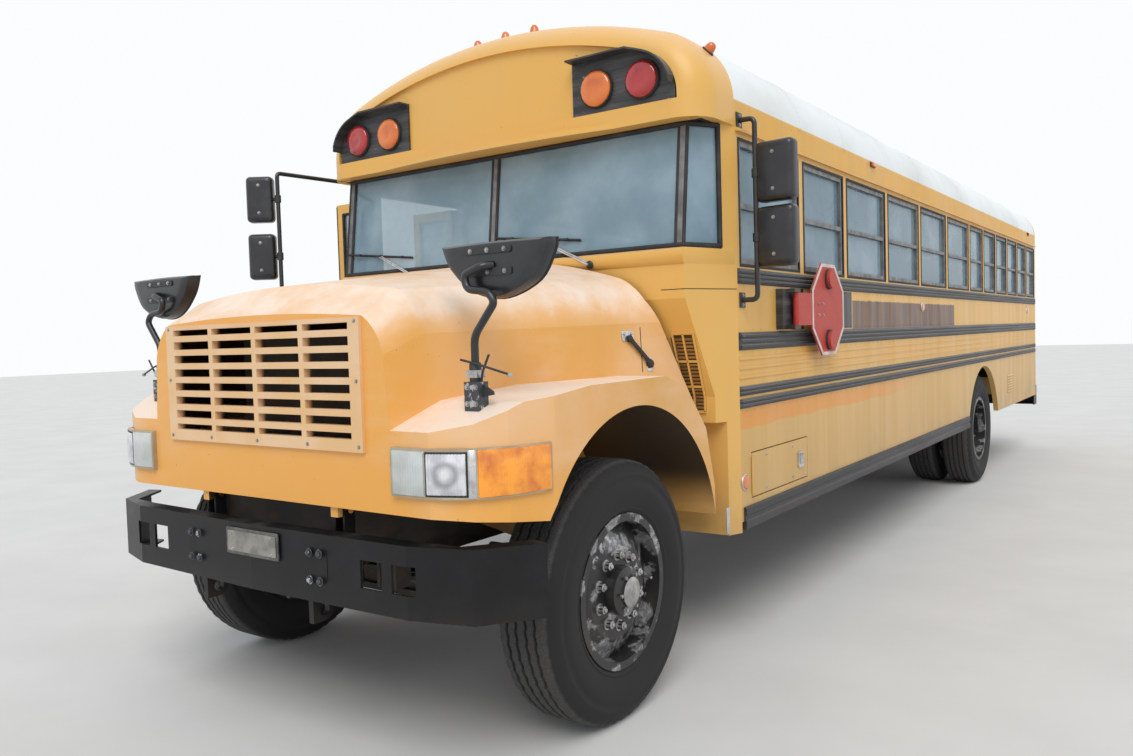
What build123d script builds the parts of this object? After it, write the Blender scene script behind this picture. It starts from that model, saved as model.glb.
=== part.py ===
"""School bus with a conventional hood, as separate sub-parts. Millimetres, +Z up.

The bus faces -Y, +X is the driver's side, and the origin lies on the ground under the middle of
the whole bus. Distances named ..._Y run rearwards from the front axle until at() places them.
"""
from build123d import *
import os
from math import atan2, cos, radians, sin, sqrt

# Overall layout
FRONT_OVERHANG = 930.0
WHEELBASE = 6530.0
BODY_START = 870.0
DRIVER_BAY = 815.0
FIRST_BAY = 712.0
WIDE_BAY = 850.0
NARROW_BAY = 610.0
WIDE_BAYS = 4
NARROW_BAYS = 6
REAR_BUMPER_REACH = 200.0
HALF_WIDTH = 1220.0
BAYS = [DRIVER_BAY, FIRST_BAY] + [WIDE_BAY] * WIDE_BAYS + [NARROW_BAY] * NARROW_BAYS
BODY_END = BODY_START + sum(BAYS) + 60.0
OVERALL = FRONT_OVERHANG + BODY_END + REAR_BUMPER_REACH

# Body shell
WALL = 45.0
REAR_WALL = 60.0
SKIRT_Z = 650.0
FLOOR_Z = 1120.0
FLOOR_T = 45.0
SILL_H = 90.0
SILLS_Y = [1100.0, 2000.0, 2900.0, 3800.0, 4700.0, 5560.0, 7260.0, 8100.0, 8950.0]
SHEET = 6.0
WELL_IN = 760.0
STEPS = 3
HOUSE_RISE = 130.0
TRAY_IN = 700.0
EAVES_Z = 2470.0
SHOULDER_Z = 2600.0
ROOF_TOP = 3085.0
SHOULDER_R = 330.0
FIT = 0.3

# Windows
PILLAR = 85.0
WINDOW_BOTTOM = 1860.0
WINDOW_TOP = 2430.0
SPLIT_Z = 2130.0
REAR_WINDOW_IN = 470.0
REAR_WINDOW_OUT = HALF_WIDTH - 130.0
SASH_W = 24.0
SASH_T = 30.0
GLASS_T = 6.0

# Side rails: name, bottom z, top z
RAIL_T = 14.0
RAILS = [("belt", 1765.0, 1838.0), ("seat", 1455.0, 1540.0),
         ("floor_low", 1181.0, 1228.0), ("floor_high", 1240.0, 1287.0)]
SKIRT_RAIL_H = 38.0
BEAD_H = 14.0
BEAD_T = 5.0
BEADS_Z = [1322.0, 1366.0, 1410.0]

# Front cap and windshield
CAP_FRONT = 540.0
CAP_ROUND = 150.0
CAP_LIP_Z = 2490.0
LIP_REACH = 60.0
LIP_T = 26.0
SIGN_INSET = 118.0
SIGN_DEPTH = 24.0
SIGN_BOTTOM = 2575.0
POD_IN = 545.0
POD_OUT = HALF_WIDTH - 130.0
POD_TOP = 2830.0
POD_T = 14.0
POD_VISOR = 62.0
LAMP_R = 88.0
LAMP_T = 34.0
LAMP_Z = 2685.0
AMBER_X = POD_IN + 140.0
RED_X = POD_OUT - 160.0
TAIL_LAMP_X = HALF_WIDTH - 220.0
SCREEN_FOOT_Z = 1925.0
SCREEN_FOOT_Y = 572.0
SCREEN_HEAD_Y = 638.0
DIVIDER_W = 32.0
DIVIDER_INSET = 25.0
CORNER_Y = 780.0

# Outside mirrors
MIRROR_TUBE_R = 12.0
MIRROR_TOP_Z = 2520.0
LEFT_MIRRORS_Z = [2270.0, 1975.0]
RIGHT_MIRRORS_Z = [2375.0, 2050.0]

# Cowl: the front wall leans from its step up to the windshield's foot
COWL_LOW_Y = 790.0
COWL_STEP_Z = 1130.0
COWL_MID_Y = 722.0
COWL_BEND_Z = 1250.0
COWL_TOP_Y = 560.0
COWL_KNEE_Z = 1700.0
COWL_T = 30.0
COWL_FOOT = 600.0
CORNER_TAPER = 110.0
CORNER_START = HALF_WIDTH - CORNER_TAPER
SCREEN_HALF = CORNER_START - DIVIDER_INSET
TOE_HALF = CORNER_START - COWL_T
TUNNEL_HALF = 620.0
SEAL = 30.0
VENT_X0 = 915.0
VENT_X1 = 1062.0
VENT_Z0 = 1160.0
VENT_Z1 = 1525.0

# Frame and running gear
RAIL_X = 430.0
RAIL_H = 250.0
RAIL_FLANGE = 80.0
RAIL_WEB = 9.0
CROSS_MEMBERS_Y = [-760.0, 1300.0, 3100.0, 4900.0, 5750.0, 7350.0, 8600.0, BODY_END - 140.0]
FRAME_TOP = FLOOR_Z - FLOOR_T - SILL_H
SPRING_W = 76.0
SPRING_X = RAIL_X - 40.0
LEAF_T = 14.0
FRONT_SEAT_Z = 520.0
REAR_SEAT_Z = 610.0
AXLE_Z = 525.0
TYRE_R = 525.0
TYRE_W = 276.0
TYRE_BORE = 290.0
RIM_W = 218.0
TRACK_FRONT = 1980.0
KINGPIN_X = TRACK_FRONT / 2 - 190.0
DUAL_PITCH = 322.0
REAR_DRUM = 250.0
REAR_OUTER_FACE = HALF_WIDTH - 50.0
WHEELHOUSE_X = REAR_OUTER_FACE - DUAL_PITCH - TYRE_W
HUB_NUTS = 10
NUT_CIRCLE = 142.9
SPINDLE_R = 38.0
PIN_R = 18.0

# Hood and fenders
HOOD_T = 14.0
HOOD_PIVOT_Y = -800.0
HOOD_PIVOT_Z = 930.0
HOOD_FRONT = -865.0
HOOD_END = 700.0
FENDER_REAR = 680.0
HINGE_X = 400.0
HINGE_HALF = 20.0
HINGE_PIN_R = 12.0
FENDER_X = HALF_WIDTH - 50.0
WELL_X = 535.0
ARCH_Y = 30.0
ARCH_Z = 610.0
ARCH_R = 655.0
REAR_ARCH_Y = -110.0
REAR_ARCH_Z = 420.0
REAR_ARCH_R = 720.0
GRILLE_HALF = 552.0
GRILLE_BOTTOM = 1195.0
GRILLE_TOP = 1626.0
GRILLE_ROWS = 8
GRILLE_COLUMNS = 4
GRILLE_FRAME = 46.0
SLAT_H = 25.0
GRILLE_BAR = 26.0
LAMP_Y0 = 735.0
LAMP_BOX_Z0 = 1018.0
LAMP_BOX_Z1 = 1188.0

# Bumpers
BUMPER_BOTTOM = 608.0
BUMPER_TOP = 860.0
BUMPER_T = 10.0
BUMPER_FLANGE = 70.0
REAR_BUMPER_BOTTOM = 520.0
REAR_BUMPER_TOP = 760.0
HOOK_X = 330.0
HOOK_T = 25.0
HOOK_BORE_R = 22.0

# Doors
DOOR_GAP = 6.0
ENTRY_FRONT = 925.0
ENTRY_REAR = 1665.0
ENTRY_BOTTOM = 430.0
ENTRY_TOP = 2440.0
ENTRY_LEAF_T = 34.0
PIN_PROUD = 8.0
REAR_DOOR_W = 640.0
REAR_DOOR_TOP = 2440.0
REAR_DOOR_BOTTOM = 1130.0
HATCH_FRONT = 985.0
HATCH_REAR = 1720.0
HATCH_BOTTOM = 745.0
HATCH_TOP = 967.0
HATCH_T = 22.0

# Stop arm
STOP_HINGE_Y = 1430.0
STOP_Y = 1900.0
STOP_Z = 1650.0
STOP_ACROSS = 500.0
STOP_X = HALF_WIDTH + 63.0
STOP_T = 8.0
STOP_BARREL = 84.0

# Seats
SEAT_ROWS = 10
SEAT_PITCH = 690.0
SEAT_FIRST = 2420.0
SEAT_W = 960.0
SEAT_DEPTH = 380.0
SEAT_H = 430.0
SEAT_BACK_H = 1000.0
SEAT_BACK_T = 90.0
SEAT_LEAN = 90.0
SEAT_PAD = 110.0
SEAT_LEG = 30.0
SEAT_GAP = 12.0
DRIVER_Y = 1420.0
STEERING_X = 600.0

parts = {}


def at(y):
    """Row Y of a place measured rearwards from the front axle."""
    return y - OVERALL / 2 + FRONT_OVERHANG


BODY_FRONT_Y = at(BODY_START)
BODY_REAR_Y = at(BODY_END)
SHELL_REAR_Y = BODY_REAR_Y - REAR_WALL
REAR_AXLE_Y = at(WHEELBASE)


def box(x0, x1, y0, y1, z0, z1):
    size = (x1 - x0, y1 - y0, z1 - z0)
    return Pos((x0 + x1) / 2, (y0 + y1) / 2, (z0 + z1) / 2) * Box(*size)


def prism_x(points, x0, x1):
    """Outline of (y, z) points, extruded from x0 to x1."""
    face = make_face(Polyline(*[(x0, y, z) for y, z in points], close=True))
    return extrude(face, amount=x1 - x0, dir=(1, 0, 0))


def prism_y(points, y0, y1):
    """Outline of (x, z) points, extruded from y0 to y1."""
    face = make_face(Polyline(*[(x, y0, z) for x, z in points], close=True))
    return extrude(face, amount=y1 - y0, dir=(0, 1, 0))


def prism_z(points, z0, z1):
    """Outline of (x, y) points, extruded from z0 to z1."""
    face = make_face(Polyline(*[(x, y, z0) for x, y in points], close=True))
    return extrude(face, amount=z1 - z0, dir=(0, 0, 1))


def rod(start, end, radius):
    """Round bar between two points."""
    a, b = Vector(*start), Vector(*end)
    plane = Plane(origin=a, z_dir=b - a)
    return extrude(plane * Circle(radius), amount=(b - a).length)


def pipe(points, radius, bend):
    """Bent round tube along straight runs joined by arcs."""
    path = FilletPolyline(*points, radius=bend)
    section = Plane(origin=path @ 0, z_dir=path % 0) * Circle(radius)
    return sweep(section, path=path)


def turned(profile, x, y, z, side=1):
    """Ring turned about a wheel axle from (radius, outward offset) points."""
    points = [(x + side * out, y, z + r) for r, out in profile]
    return revolve(make_face(Polyline(*points, close=True)), axis=Axis((x, y, z), (1, 0, 0)))


def mirrored(shape):
    """The same shape on the other side of the bus."""
    return mirror(shape, about=Plane.YZ)


def both(shape):
    """A shape and its mirror image."""
    return [shape, mirrored(shape)]


def fuse(shapes):
    """One shape from pieces that touch or overlap."""
    flat = []
    for shape in shapes:
        flat.extend(shape if isinstance(shape, list) else [shape])
    total = flat[0]
    for shape in flat[1:]:
        total = total + shape
    return total


def group(shapes):
    """Separate solids that share a node."""
    solids = []
    for shape in shapes:
        for piece in (shape if isinstance(shape, list) else [shape]):
            solids.extend(piece.solids())
    return Compound(children=solids)


# Cross-section of the body

def crown(inset):
    """Radii and tangent point of the roof's shoulder and crown arcs."""
    shoulder_x = HALF_WIDTH - SHOULDER_R
    rise = ROOF_TOP - SHOULDER_Z
    crown_r = (shoulder_x ** 2 + rise ** 2 - SHOULDER_R ** 2) / (2 * (rise - SHOULDER_R))
    centre_z = ROOF_TOP - crown_r
    angle = atan2(SHOULDER_Z - centre_z, shoulder_x)
    return shoulder_x, centre_z, crown_r - inset, SHOULDER_R - inset, angle


def body_face(y, inset, low_z):
    """Body outline in a plane across the bus, set in by a wall, down to low_z."""
    shoulder_x, centre_z, crown_r, shoulder_r, angle = crown(inset)
    side = HALF_WIDTH - inset
    end = (shoulder_x + shoulder_r * cos(angle), y, SHOULDER_Z + shoulder_r * sin(angle))
    half = angle / 2
    mid = (shoulder_x + shoulder_r * cos(half), y, SHOULDER_Z + shoulder_r * sin(half))
    left_end = (-end[0], y, end[2])
    left_mid = (-mid[0], y, mid[2])
    edges = [
        Line((side, y, low_z), (side, y, SHOULDER_Z)),
        ThreePointArc((side, y, SHOULDER_Z), mid, end),
        ThreePointArc(end, (0, y, centre_z + crown_r), left_end),
        ThreePointArc(left_end, left_mid, (-side, y, SHOULDER_Z)),
        Line((-side, y, SHOULDER_Z), (-side, y, low_z)),
        Line((-side, y, low_z), (side, y, low_z)),
    ]
    return make_face(edges)


def body_prism(y0, y1, inset, low_z):
    """The body's outline pushed from y0 to y1."""
    return extrude(body_face(y0, inset, low_z), amount=y1 - y0, dir=(0, 1, 0))


def bay_edges():
    """Start and end of each window bay, rearwards from the front axle."""
    edges, y = [], BODY_START
    for width in BAYS:
        edges.append((y, y + width))
        y += width
    return edges


# Frame and running gear

def frame_rails():
    """Two channels facing each other, with plate cross-members between them."""
    front, rear = at(-780.0), at(BODY_END - 120.0)
    bottom = FRAME_TOP - RAIL_H
    web, flange = RAIL_X - RAIL_WEB, RAIL_X - RAIL_FLANGE
    channel = [(RAIL_X, bottom), (RAIL_X, FRAME_TOP), (flange, FRAME_TOP), (flange, FRAME_TOP - RAIL_WEB),
               (web, FRAME_TOP - RAIL_WEB), (web, bottom + RAIL_WEB), (flange, bottom + RAIL_WEB),
               (flange, bottom)]
    members = [box(-web, web, at(y), at(y) + RAIL_WEB, bottom + RAIL_WEB, FRAME_TOP - RAIL_WEB)
               for y in CROSS_MEMBERS_Y]
    return group([both(prism_y(channel, front, rear))] + members)


def arc_band(y0, y1, z_end, sag, x0, x1, thick):
    """One spring leaf: an arc band from y0 to y1, its middle lower than its ends by sag."""
    mid = (y0 + y1) / 2
    low = ThreePointArc((x0, y0, z_end), (x0, mid, z_end - sag), (x0, y1, z_end))
    top = ThreePointArc((x0, y0, z_end + thick), (x0, mid, z_end - sag + thick),
                        (x0, y1, z_end + thick))
    edges = [low, Line(low @ 1, top @ 1), top, Line(top @ 0, low @ 0)]
    return extrude(make_face(edges), amount=x1 - x0, dir=(1, 0, 0))


def leaf_spring(axle_y, seat_z, half_length, sag, leaves):
    """A pack of leaves over its seat, with eyes and the hangers under the frame."""
    x0, x1 = SPRING_X - SPRING_W / 2, SPRING_X + SPRING_W / 2
    pieces = []
    for i in range(leaves):
        share = 1.0 - 0.16 * i
        half = half_length * share
        drop = sag * share ** 2
        z_mid = seat_z + LEAF_T * (leaves - 1 - i)
        pieces.append(arc_band(axle_y - half, axle_y + half, z_mid + drop, drop, x0, x1, LEAF_T + 1.0))
    eye_z = seat_z + LEAF_T * (leaves - 1) + sag + LEAF_T / 2
    for end in (-1, 1):
        y = axle_y + end * half_length
        pieces.append(rod((x0, y, eye_z), (x1, y, eye_z), 26.0))
        for face in (x0 - 14.0 - FIT, x1 + FIT):
            pieces.append(box(face, face + 14.0, y - 40.0, y + 40.0, eye_z - 34.0,
                              FRAME_TOP - RAIL_H))
        pieces.append(rod((x0 - 14.0, y, eye_z), (x1 + 14.0, y, eye_z), 13.0))
    return fuse(pieces)


def leaf_springs():
    front = leaf_spring(at(0.0), FRONT_SEAT_Z, 560.0, 62.0, 3)
    rear = leaf_spring(REAR_AXLE_Y, REAR_SEAT_Z, 640.0, 30.0, 3)
    return group([both(front), both(rear)])


def front_axle():
    y = at(0.0)
    beam_top = AXLE_Z - 60.0
    pieces = [box(-560.0, 560.0, y - 40.0, y + 40.0, beam_top - 30.0, beam_top),
              box(-560.0, 560.0, y - 40.0, y + 40.0, beam_top - 120.0, beam_top - 90.0),
              box(-560.0, 560.0, y - 12.0, y + 12.0, beam_top - 91.0, beam_top - 29.0)]
    for side in (1, -1):
        neck = [(side * 559.0, beam_top), (side * 559.0, beam_top - 120.0),
                (side * 680.0, AXLE_Z - 52.0), (side * KINGPIN_X, AXLE_Z - 52.0),
                (side * KINGPIN_X, AXLE_Z + 52.0), (side * 700.0, AXLE_Z + 30.0)]
        pieces.append(prism_y(neck, y - 36.0, y + 36.0))
        pieces.append(rod((side * KINGPIN_X, y, AXLE_Z - 60.0), (side * KINGPIN_X, y, AXLE_Z + 60.0), 42.0))
        seat = sorted((side * (SPRING_X - 45.0), side * (SPRING_X + 45.0)))
        pieces.append(box(seat[0], seat[1], y - 70.0, y + 70.0, beam_top - 1.0, FRONT_SEAT_Z))
    axle = fuse(pieces)
    for side in (1, -1):
        axle -= rod((side * KINGPIN_X, y, 300.0), (side * KINGPIN_X, y, 800.0), PIN_R + FIT)
    return axle


def rear_axle():
    y = REAR_AXLE_Y
    reach = REAR_OUTER_FACE - TYRE_W / 2 - DUAL_PITCH / 2 - REAR_DRUM - 6.0
    tube = rod((-reach, y, AXLE_Z), (reach, y, AXLE_Z), 62.0)
    bowl = rod((-70.0, y, AXLE_Z), (130.0, y, AXLE_Z), 205.0)
    nose = rod((30.0, y - 330.0, AXLE_Z + 20.0), (30.0, y, AXLE_Z + 20.0), 92.0)
    spindles = rod((-930.0, y, AXLE_Z), (930.0, y, AXLE_Z), SPINDLE_R)
    seats = []
    for side in (1, -1):
        seat = sorted((side * (SPRING_X - 45.0), side * (SPRING_X + 45.0)))
        seats.append(box(seat[0], seat[1], y - 80.0, y + 80.0, AXLE_Z, REAR_SEAT_Z))
    return fuse([tube, bowl, nose, spindles] + seats)


def drive_shaft():
    """Three tubes in line, with joints and hanger bearings."""
    z0, z1 = 700.0, AXLE_Z + 20.0
    y0, y1 = at(650.0), REAR_AXLE_Y - 336.0
    x, tube_r, bearing_r = 30.0, 45.0, 70.0
    count = 3
    shaft = rod((x, y0, z0), (x, y1, z1), tube_r)
    hangers = []
    for i in range(1, count):
        y, z = y0 + (y1 - y0) * i / count, z0 + (z1 - z0) * i / count
        shaft += rod((x, y - 40.0, z), (x, y + 40.0, z), bearing_r)
        reach = RAIL_X - RAIL_WEB - FIT
        top = FRAME_TOP - RAIL_WEB - FIT
        hangers.append(box(x - 40.0, x + 40.0, y - 20.0, y + 20.0, z, top - 20.0))
        hangers.append(box(-reach, reach, y - 30.0, y + 30.0, top - 20.0, top))
    return group([shaft] + [hanger - shaft for hanger in hangers])


def exhaust():
    x, z = 600.0, FRAME_TOP - RAIL_H - 75.0
    muffler = rod((x, at(2200.0), z), (x, at(3300.0), z), 130.0)
    front = pipe([(250.0, at(655.0), z), (250.0, at(1100.0), z), (x, at(1650.0), z),
                  (x, at(2201.0), z)], 50.0, 200.0)
    rear = pipe([(x, at(3299.0), z), (x, at(5000.0), z), (x + 100.0, at(5560.0), z)], 50.0, 200.0)
    straps = []
    for y in (2400.0, 3100.0):
        straps.append(box(RAIL_X + FIT, RAIL_X + 12.0, at(y), at(y) + 40.0, z - 10.0, z + 150.0))
        straps.append(box(RAIL_X + FIT, x - 100.0, at(y), at(y) + 40.0, z - 10.0, z + 10.0))
    return fuse([muffler, front, rear] + straps)


def engine_block():
    block = box(-330.0, 330.0, at(-380.0), at(640.0), 640.0, 1420.0)
    block = chamfer(block.edges().filter_by(Axis.Y).sort_by(Axis.Z)[-2:], 120.0)
    mounts = [box(330.0, RAIL_X - RAIL_WEB - FIT, at(y), at(y) + 90.0, 800.0, 840.0)
              for y in (-200.0, 400.0)]
    core = box(-400.0, 400.0, at(-640.0), at(-560.0), FRAME_TOP, 1600.0)
    return group([fuse([block] + [both(m) for m in mounts]), core])


def fuel_tank():
    tank = box(140.0 - HALF_WIDTH, -500.0, at(2900.0), at(4300.0), 560.0, 960.0)
    tank = fillet(tank.edges().filter_by(Axis.Y), 70.0)
    straps = []
    for y in (3150.0, 3600.0, 4050.0):
        straps.append(box(-500.0, -RAIL_X - FIT, at(y), at(y) + 60.0, 780.0, 860.0))
    return fuse([tank] + straps)


def tyre_profile():
    """Half a section from bead to tread, then its mirror image."""
    half, bead = TYRE_W / 2, RIM_W / 2 - FIT
    outer = [(TYRE_BORE, bead), (TYRE_BORE + 24.0, bead), (TYRE_BORE + 60.0, half - 8.0),
             (TYRE_R - 120.0, half), (TYRE_R - 60.0, half - 6.0), (TYRE_R - 20.0, half - 24.0),
             (TYRE_R, half - 50.0)]
    return [(r, -out) for r, out in outer] + outer[::-1]


def rim_profile():
    half = RIM_W / 2
    return [(TYRE_BORE - FIT, -half), (TYRE_BORE + 20.0, -half), (TYRE_BORE + 20.0, -half - 9.0),
            (TYRE_BORE - 12.0, -half - 9.0), (TYRE_BORE - 12.0, half + 9.0),
            (TYRE_BORE + 20.0, half + 9.0), (TYRE_BORE + 20.0, half), (TYRE_BORE - FIT, half)]


def wheel_nuts(x, y, z, side, face):
    nuts = []
    for i in range(HUB_NUTS):
        turn = radians(360.0 * (i + 0.5) / HUB_NUTS)
        cy, cz = y + NUT_CIRCLE * cos(turn), z + NUT_CIRCLE * sin(turn)
        plane = Plane(origin=(x + side * face, cy, cz), z_dir=(side, 0, 0))
        nuts.append(extrude(plane * RegularPolygon(18.0, 6), amount=26.0))
    return nuts


def front_wheel(side):
    """Rim, outward-dished disc, hub, drum and nuts of a steered wheel."""
    x, y, z = side * TRACK_FRONT / 2, at(0.0), AXLE_Z
    rim = turned(rim_profile(), x, y, z, side)
    bore = SPINDLE_R + FIT
    disc = [(bore, 40.0), (100.0, 70.0), (190.0, 70.0), (TYRE_BORE - 11.0, 30.0),
            (TYRE_BORE - 11.0, 44.0), (196.0, 84.0), (100.0, 84.0), (98.0, 128.0), (62.0, 140.0),
            (60.0, 152.0), (0.0, 152.0), (0.0, 60.0), (bore, 60.0)]
    drum = [(bore, -106.0), (205.0, -106.0), (205.0, 20.0), (120.0, 76.0), (bore, 76.0)]
    pieces = [rim, turned(disc, x, y, z, side), turned(drum, x, y, z, side)]
    return fuse(pieces + wheel_nuts(x, y, z, side, 83.0))


def front_tyre(side):
    return turned(tyre_profile(), side * TRACK_FRONT / 2, at(0.0), AXLE_Z)


def dual_centres(side):
    outer = REAR_OUTER_FACE - TYRE_W / 2
    return side * outer, side * (outer - DUAL_PITCH)


def rear_tyres(side):
    return group([turned(tyre_profile(), x, REAR_AXLE_Y, AXLE_Z) for x in dual_centres(side)])


def rear_wheel(side):
    """Two dished discs back to back on one hub."""
    y, z = REAR_AXLE_Y, AXLE_Z
    outer_x, inner_x = dual_centres(side)
    middle = (outer_x + inner_x) / 2
    bore = SPINDLE_R + FIT
    pieces = [turned(rim_profile(), x, y, z, side) for x in (outer_x, inner_x)]
    half = DUAL_PITCH / 2
    disc = [(bore, 0.0), (190.0, 0.0), (TYRE_BORE - 11.0, half - 70.0), (TYRE_BORE - 11.0, half - 54.0),
            (185.0, 14.0), (118.0, 14.0), (118.0, 120.0), (80.0, 132.0), (80.0, 146.0), (0.0, 146.0),
            (0.0, 115.0), (bore, 115.0)]
    back = [(bore, 0.0), (190.0, 0.0), (TYRE_BORE - 11.0, 70.0 - half), (TYRE_BORE - 11.0, 54.0 - half),
            (185.0, -14.0), (bore, -14.0)]
    drum = [(bore, -13.0), (190.0, -13.0), (205.0, -60.0), (205.0, -REAR_DRUM), (bore, -REAR_DRUM)]
    pieces += [turned(p, middle, y, z, side) for p in (disc, back, drum)]
    return fuse(pieces + wheel_nuts(middle, y, z, side, 13.0))


def knuckle(side):
    """Fork round the axle's end, back plate and wheel spindle."""
    x, y, z = side * KINGPIN_X, at(0.0), AXLE_Z
    wheel_x = TRACK_FRONT / 2
    drum_face = wheel_x - 106.0
    plate_out = drum_face - 6.0
    pieces = [rod((side * (plate_out - 16.0), y, z), (side * plate_out, y, z), 190.0),
              rod((side * (plate_out - 16.0), y, z), (side * (wheel_x + 40.0), y, z), SPINDLE_R),
              rod((x, y, z - 105.0), (x, y, z + 105.0), PIN_R)]
    for low, high in ((60.0 + FIT, 108.0), (-108.0, -60.0 - FIT)):
        xs = sorted((side * (KINGPIN_X - 45.0), side * (plate_out - 15.0)))
        pieces.append(box(xs[0], xs[1], y - 45.0, y + 45.0, z + low, z + high))
    return fuse(pieces)


# Body

def floor_deck():
    """Floor plates with the stepwell left open, and plain strips between the wheelhouses."""
    side = HALF_WIDTH - WALL
    low = FLOOR_Z - FLOOR_T
    toe = at(COWL_LOW_Y + COWL_T) + FIT
    well_y0, well_y1 = at(ENTRY_FRONT + 2 * SHEET), at(ENTRY_REAR - 2 * SHEET)
    house_y0, house_y1 = wheelhouse_ends()
    return [box(-TOE_HALF, TOE_HALF, toe, BODY_FRONT_Y + FIT, low, FLOOR_Z),
            box(-side, side, BODY_FRONT_Y + FIT, well_y0, low, FLOOR_Z),
            box(-WELL_IN, side, well_y0, well_y1, low, FLOOR_Z),
            box(-side, side, well_y1, house_y0, low, FLOOR_Z),
            box(-WHEELHOUSE_X, WHEELHOUSE_X, house_y0, house_y1, low, FLOOR_Z),
            box(-side, side, house_y1, SHELL_REAR_Y, low, FLOOR_Z)]


def stepwell():
    """Treads, risers and two cheeks, down from the floor to the doorway."""
    side = HALF_WIDTH - WALL
    y0, y1 = at(ENTRY_FRONT + 2 * SHEET), at(ENTRY_REAR - 2 * SHEET)
    rise, run = (FLOOR_Z - ENTRY_BOTTOM) / STEPS, (side - WELL_IN) / STEPS
    plates = []
    for i in range(STEPS):
        tread_z = ENTRY_BOTTOM + i * rise
        x1 = -side + (i + 1) * run
        plates.append(box(x1 - run, x1, y0, y1, tread_z - SHEET, tread_z))
        top = FLOOR_Z - FLOOR_T if i == STEPS - 1 else tread_z + rise - SHEET
        plates.append(box(x1, x1 + SHEET, y0, y1, tread_z - SHEET, top))
    foot = ENTRY_BOTTOM - SHEET
    cheek = [(-side, foot), (-WELL_IN, foot), (-WELL_IN, FLOOR_Z - FLOOR_T), (-side, FLOOR_Z - FLOOR_T)]
    return plates + [prism_y(cheek, y, y + SHEET) for y in (y0 - SHEET, y1)]


def wheelhouse_ends():
    centre, reach = REAR_AXLE_Y + REAR_ARCH_Y, REAR_ARCH_R + 30.0
    return centre - reach, centre + reach


def wheelhouse(side):
    """Top, inner wall and two ends of the box over one pair of rear tyres."""
    wall_t = 2 * SHEET
    y0, y1 = wheelhouse_ends()
    x0, x1 = sorted((side * WHEELHOUSE_X, side * (HALF_WIDTH - WALL)))
    inner = sorted((side * WHEELHOUSE_X, side * (WHEELHOUSE_X + wall_t)))
    low, top = FLOOR_Z - FLOOR_T, FLOOR_Z + HOUSE_RISE - wall_t
    return [box(x0, x1, y0, y1, top, top + wall_t), box(inner[0], inner[1], y0, y1, low, top),
            box(x0, x1, y0, y0 + wall_t, low, top) - box(inner[0], inner[1], y0, y1, low, top),
            box(x0, x1, y1 - wall_t, y1, low, top) - box(inner[0], inner[1], y0, y1, low, top)]


def battery_tray():
    """Tray behind the compartment door, hung from the floor by its walls."""
    x0, x1 = TRAY_IN, HALF_WIDTH - WALL
    y0, y1 = at(HATCH_FRONT - 8.0), at(HATCH_REAR + 8.0)
    low, top = HATCH_BOTTOM - 10.0, FLOOR_Z - FLOOR_T
    return [box(x0, x1, y0, y1, low, low + SHEET), box(x0, x0 + SHEET, y0, y1, low + SHEET, top),
            box(x0 + SHEET, x1, y0, y0 + SHEET, low + SHEET, top),
            box(x0 + SHEET, x1, y1 - SHEET, y1, low + SHEET, top)]


def floor():
    """Deck on its sills, with the stepwell, the wheelhouses and the battery tray."""
    side = HALF_WIDTH - WALL
    tray_rear, well_rear = HATCH_REAR + 8.0, ENTRY_REAR
    sills = []
    for y in SILLS_Y:
        low_x = -WELL_IN + SHEET if y < well_rear else -side
        high_x = TRAY_IN if y < tray_rear else side
        sills.append(box(low_x, high_x, at(y), at(y) + 60.0, FRAME_TOP, FLOOR_Z - FLOOR_T))
    return group([floor_deck(), stepwell(), wheelhouse(1), wheelhouse(-1), battery_tray(), sills])


def side_panel(side):
    """Window wall with pressed beads, and the skirt under it with its arch and openings."""
    x0, x1 = sorted((side * (HALF_WIDTH - WALL), side * HALF_WIDTH))
    y0, y1 = BODY_FRONT_Y, SHELL_REAR_Y
    panel = box(x0, x1, y0, y1, FLOOR_Z, EAVES_Z)
    skirt = box(x0, x1, y0, y1, SKIRT_Z, FLOOR_Z)
    beads = sorted((side * (HALF_WIDTH - 1.0), side * (HALF_WIDTH + BEAD_T)))
    start = BODY_FRONT_Y if side > 0 else at(ENTRY_REAR + 20.0)
    for z in BEADS_Z:
        panel += box(beads[0], beads[1], start, y1, z, z + BEAD_H)
    for index, (start_y, end_y) in enumerate(bay_edges()):
        if side < 0 and index == 0:
            continue
        middle, width = (start_y + end_y) / 2, end_y - start_y - PILLAR
        panel -= box(x0 - 1, x1 + 1, at(middle) - width / 2, at(middle) + width / 2, WINDOW_BOTTOM,
                     WINDOW_TOP)
    centre = REAR_AXLE_Y + REAR_ARCH_Y
    wheel_cut = rod((x0 - 10, centre, REAR_ARCH_Z), (x1 + 20, centre, REAR_ARCH_Z), REAR_ARCH_R)
    if side > 0:
        side_cut = box(x0 - 1, x1 + 1, at(HATCH_FRONT), at(HATCH_REAR), HATCH_BOTTOM, HATCH_TOP)
    else:
        side_cut = box(x0 - 10, x1 + 1, at(ENTRY_FRONT), at(ENTRY_REAR), SKIRT_Z - 1, ENTRY_TOP)
    return group([panel - wheel_cut - side_cut, skirt - wheel_cut - side_cut])


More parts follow.
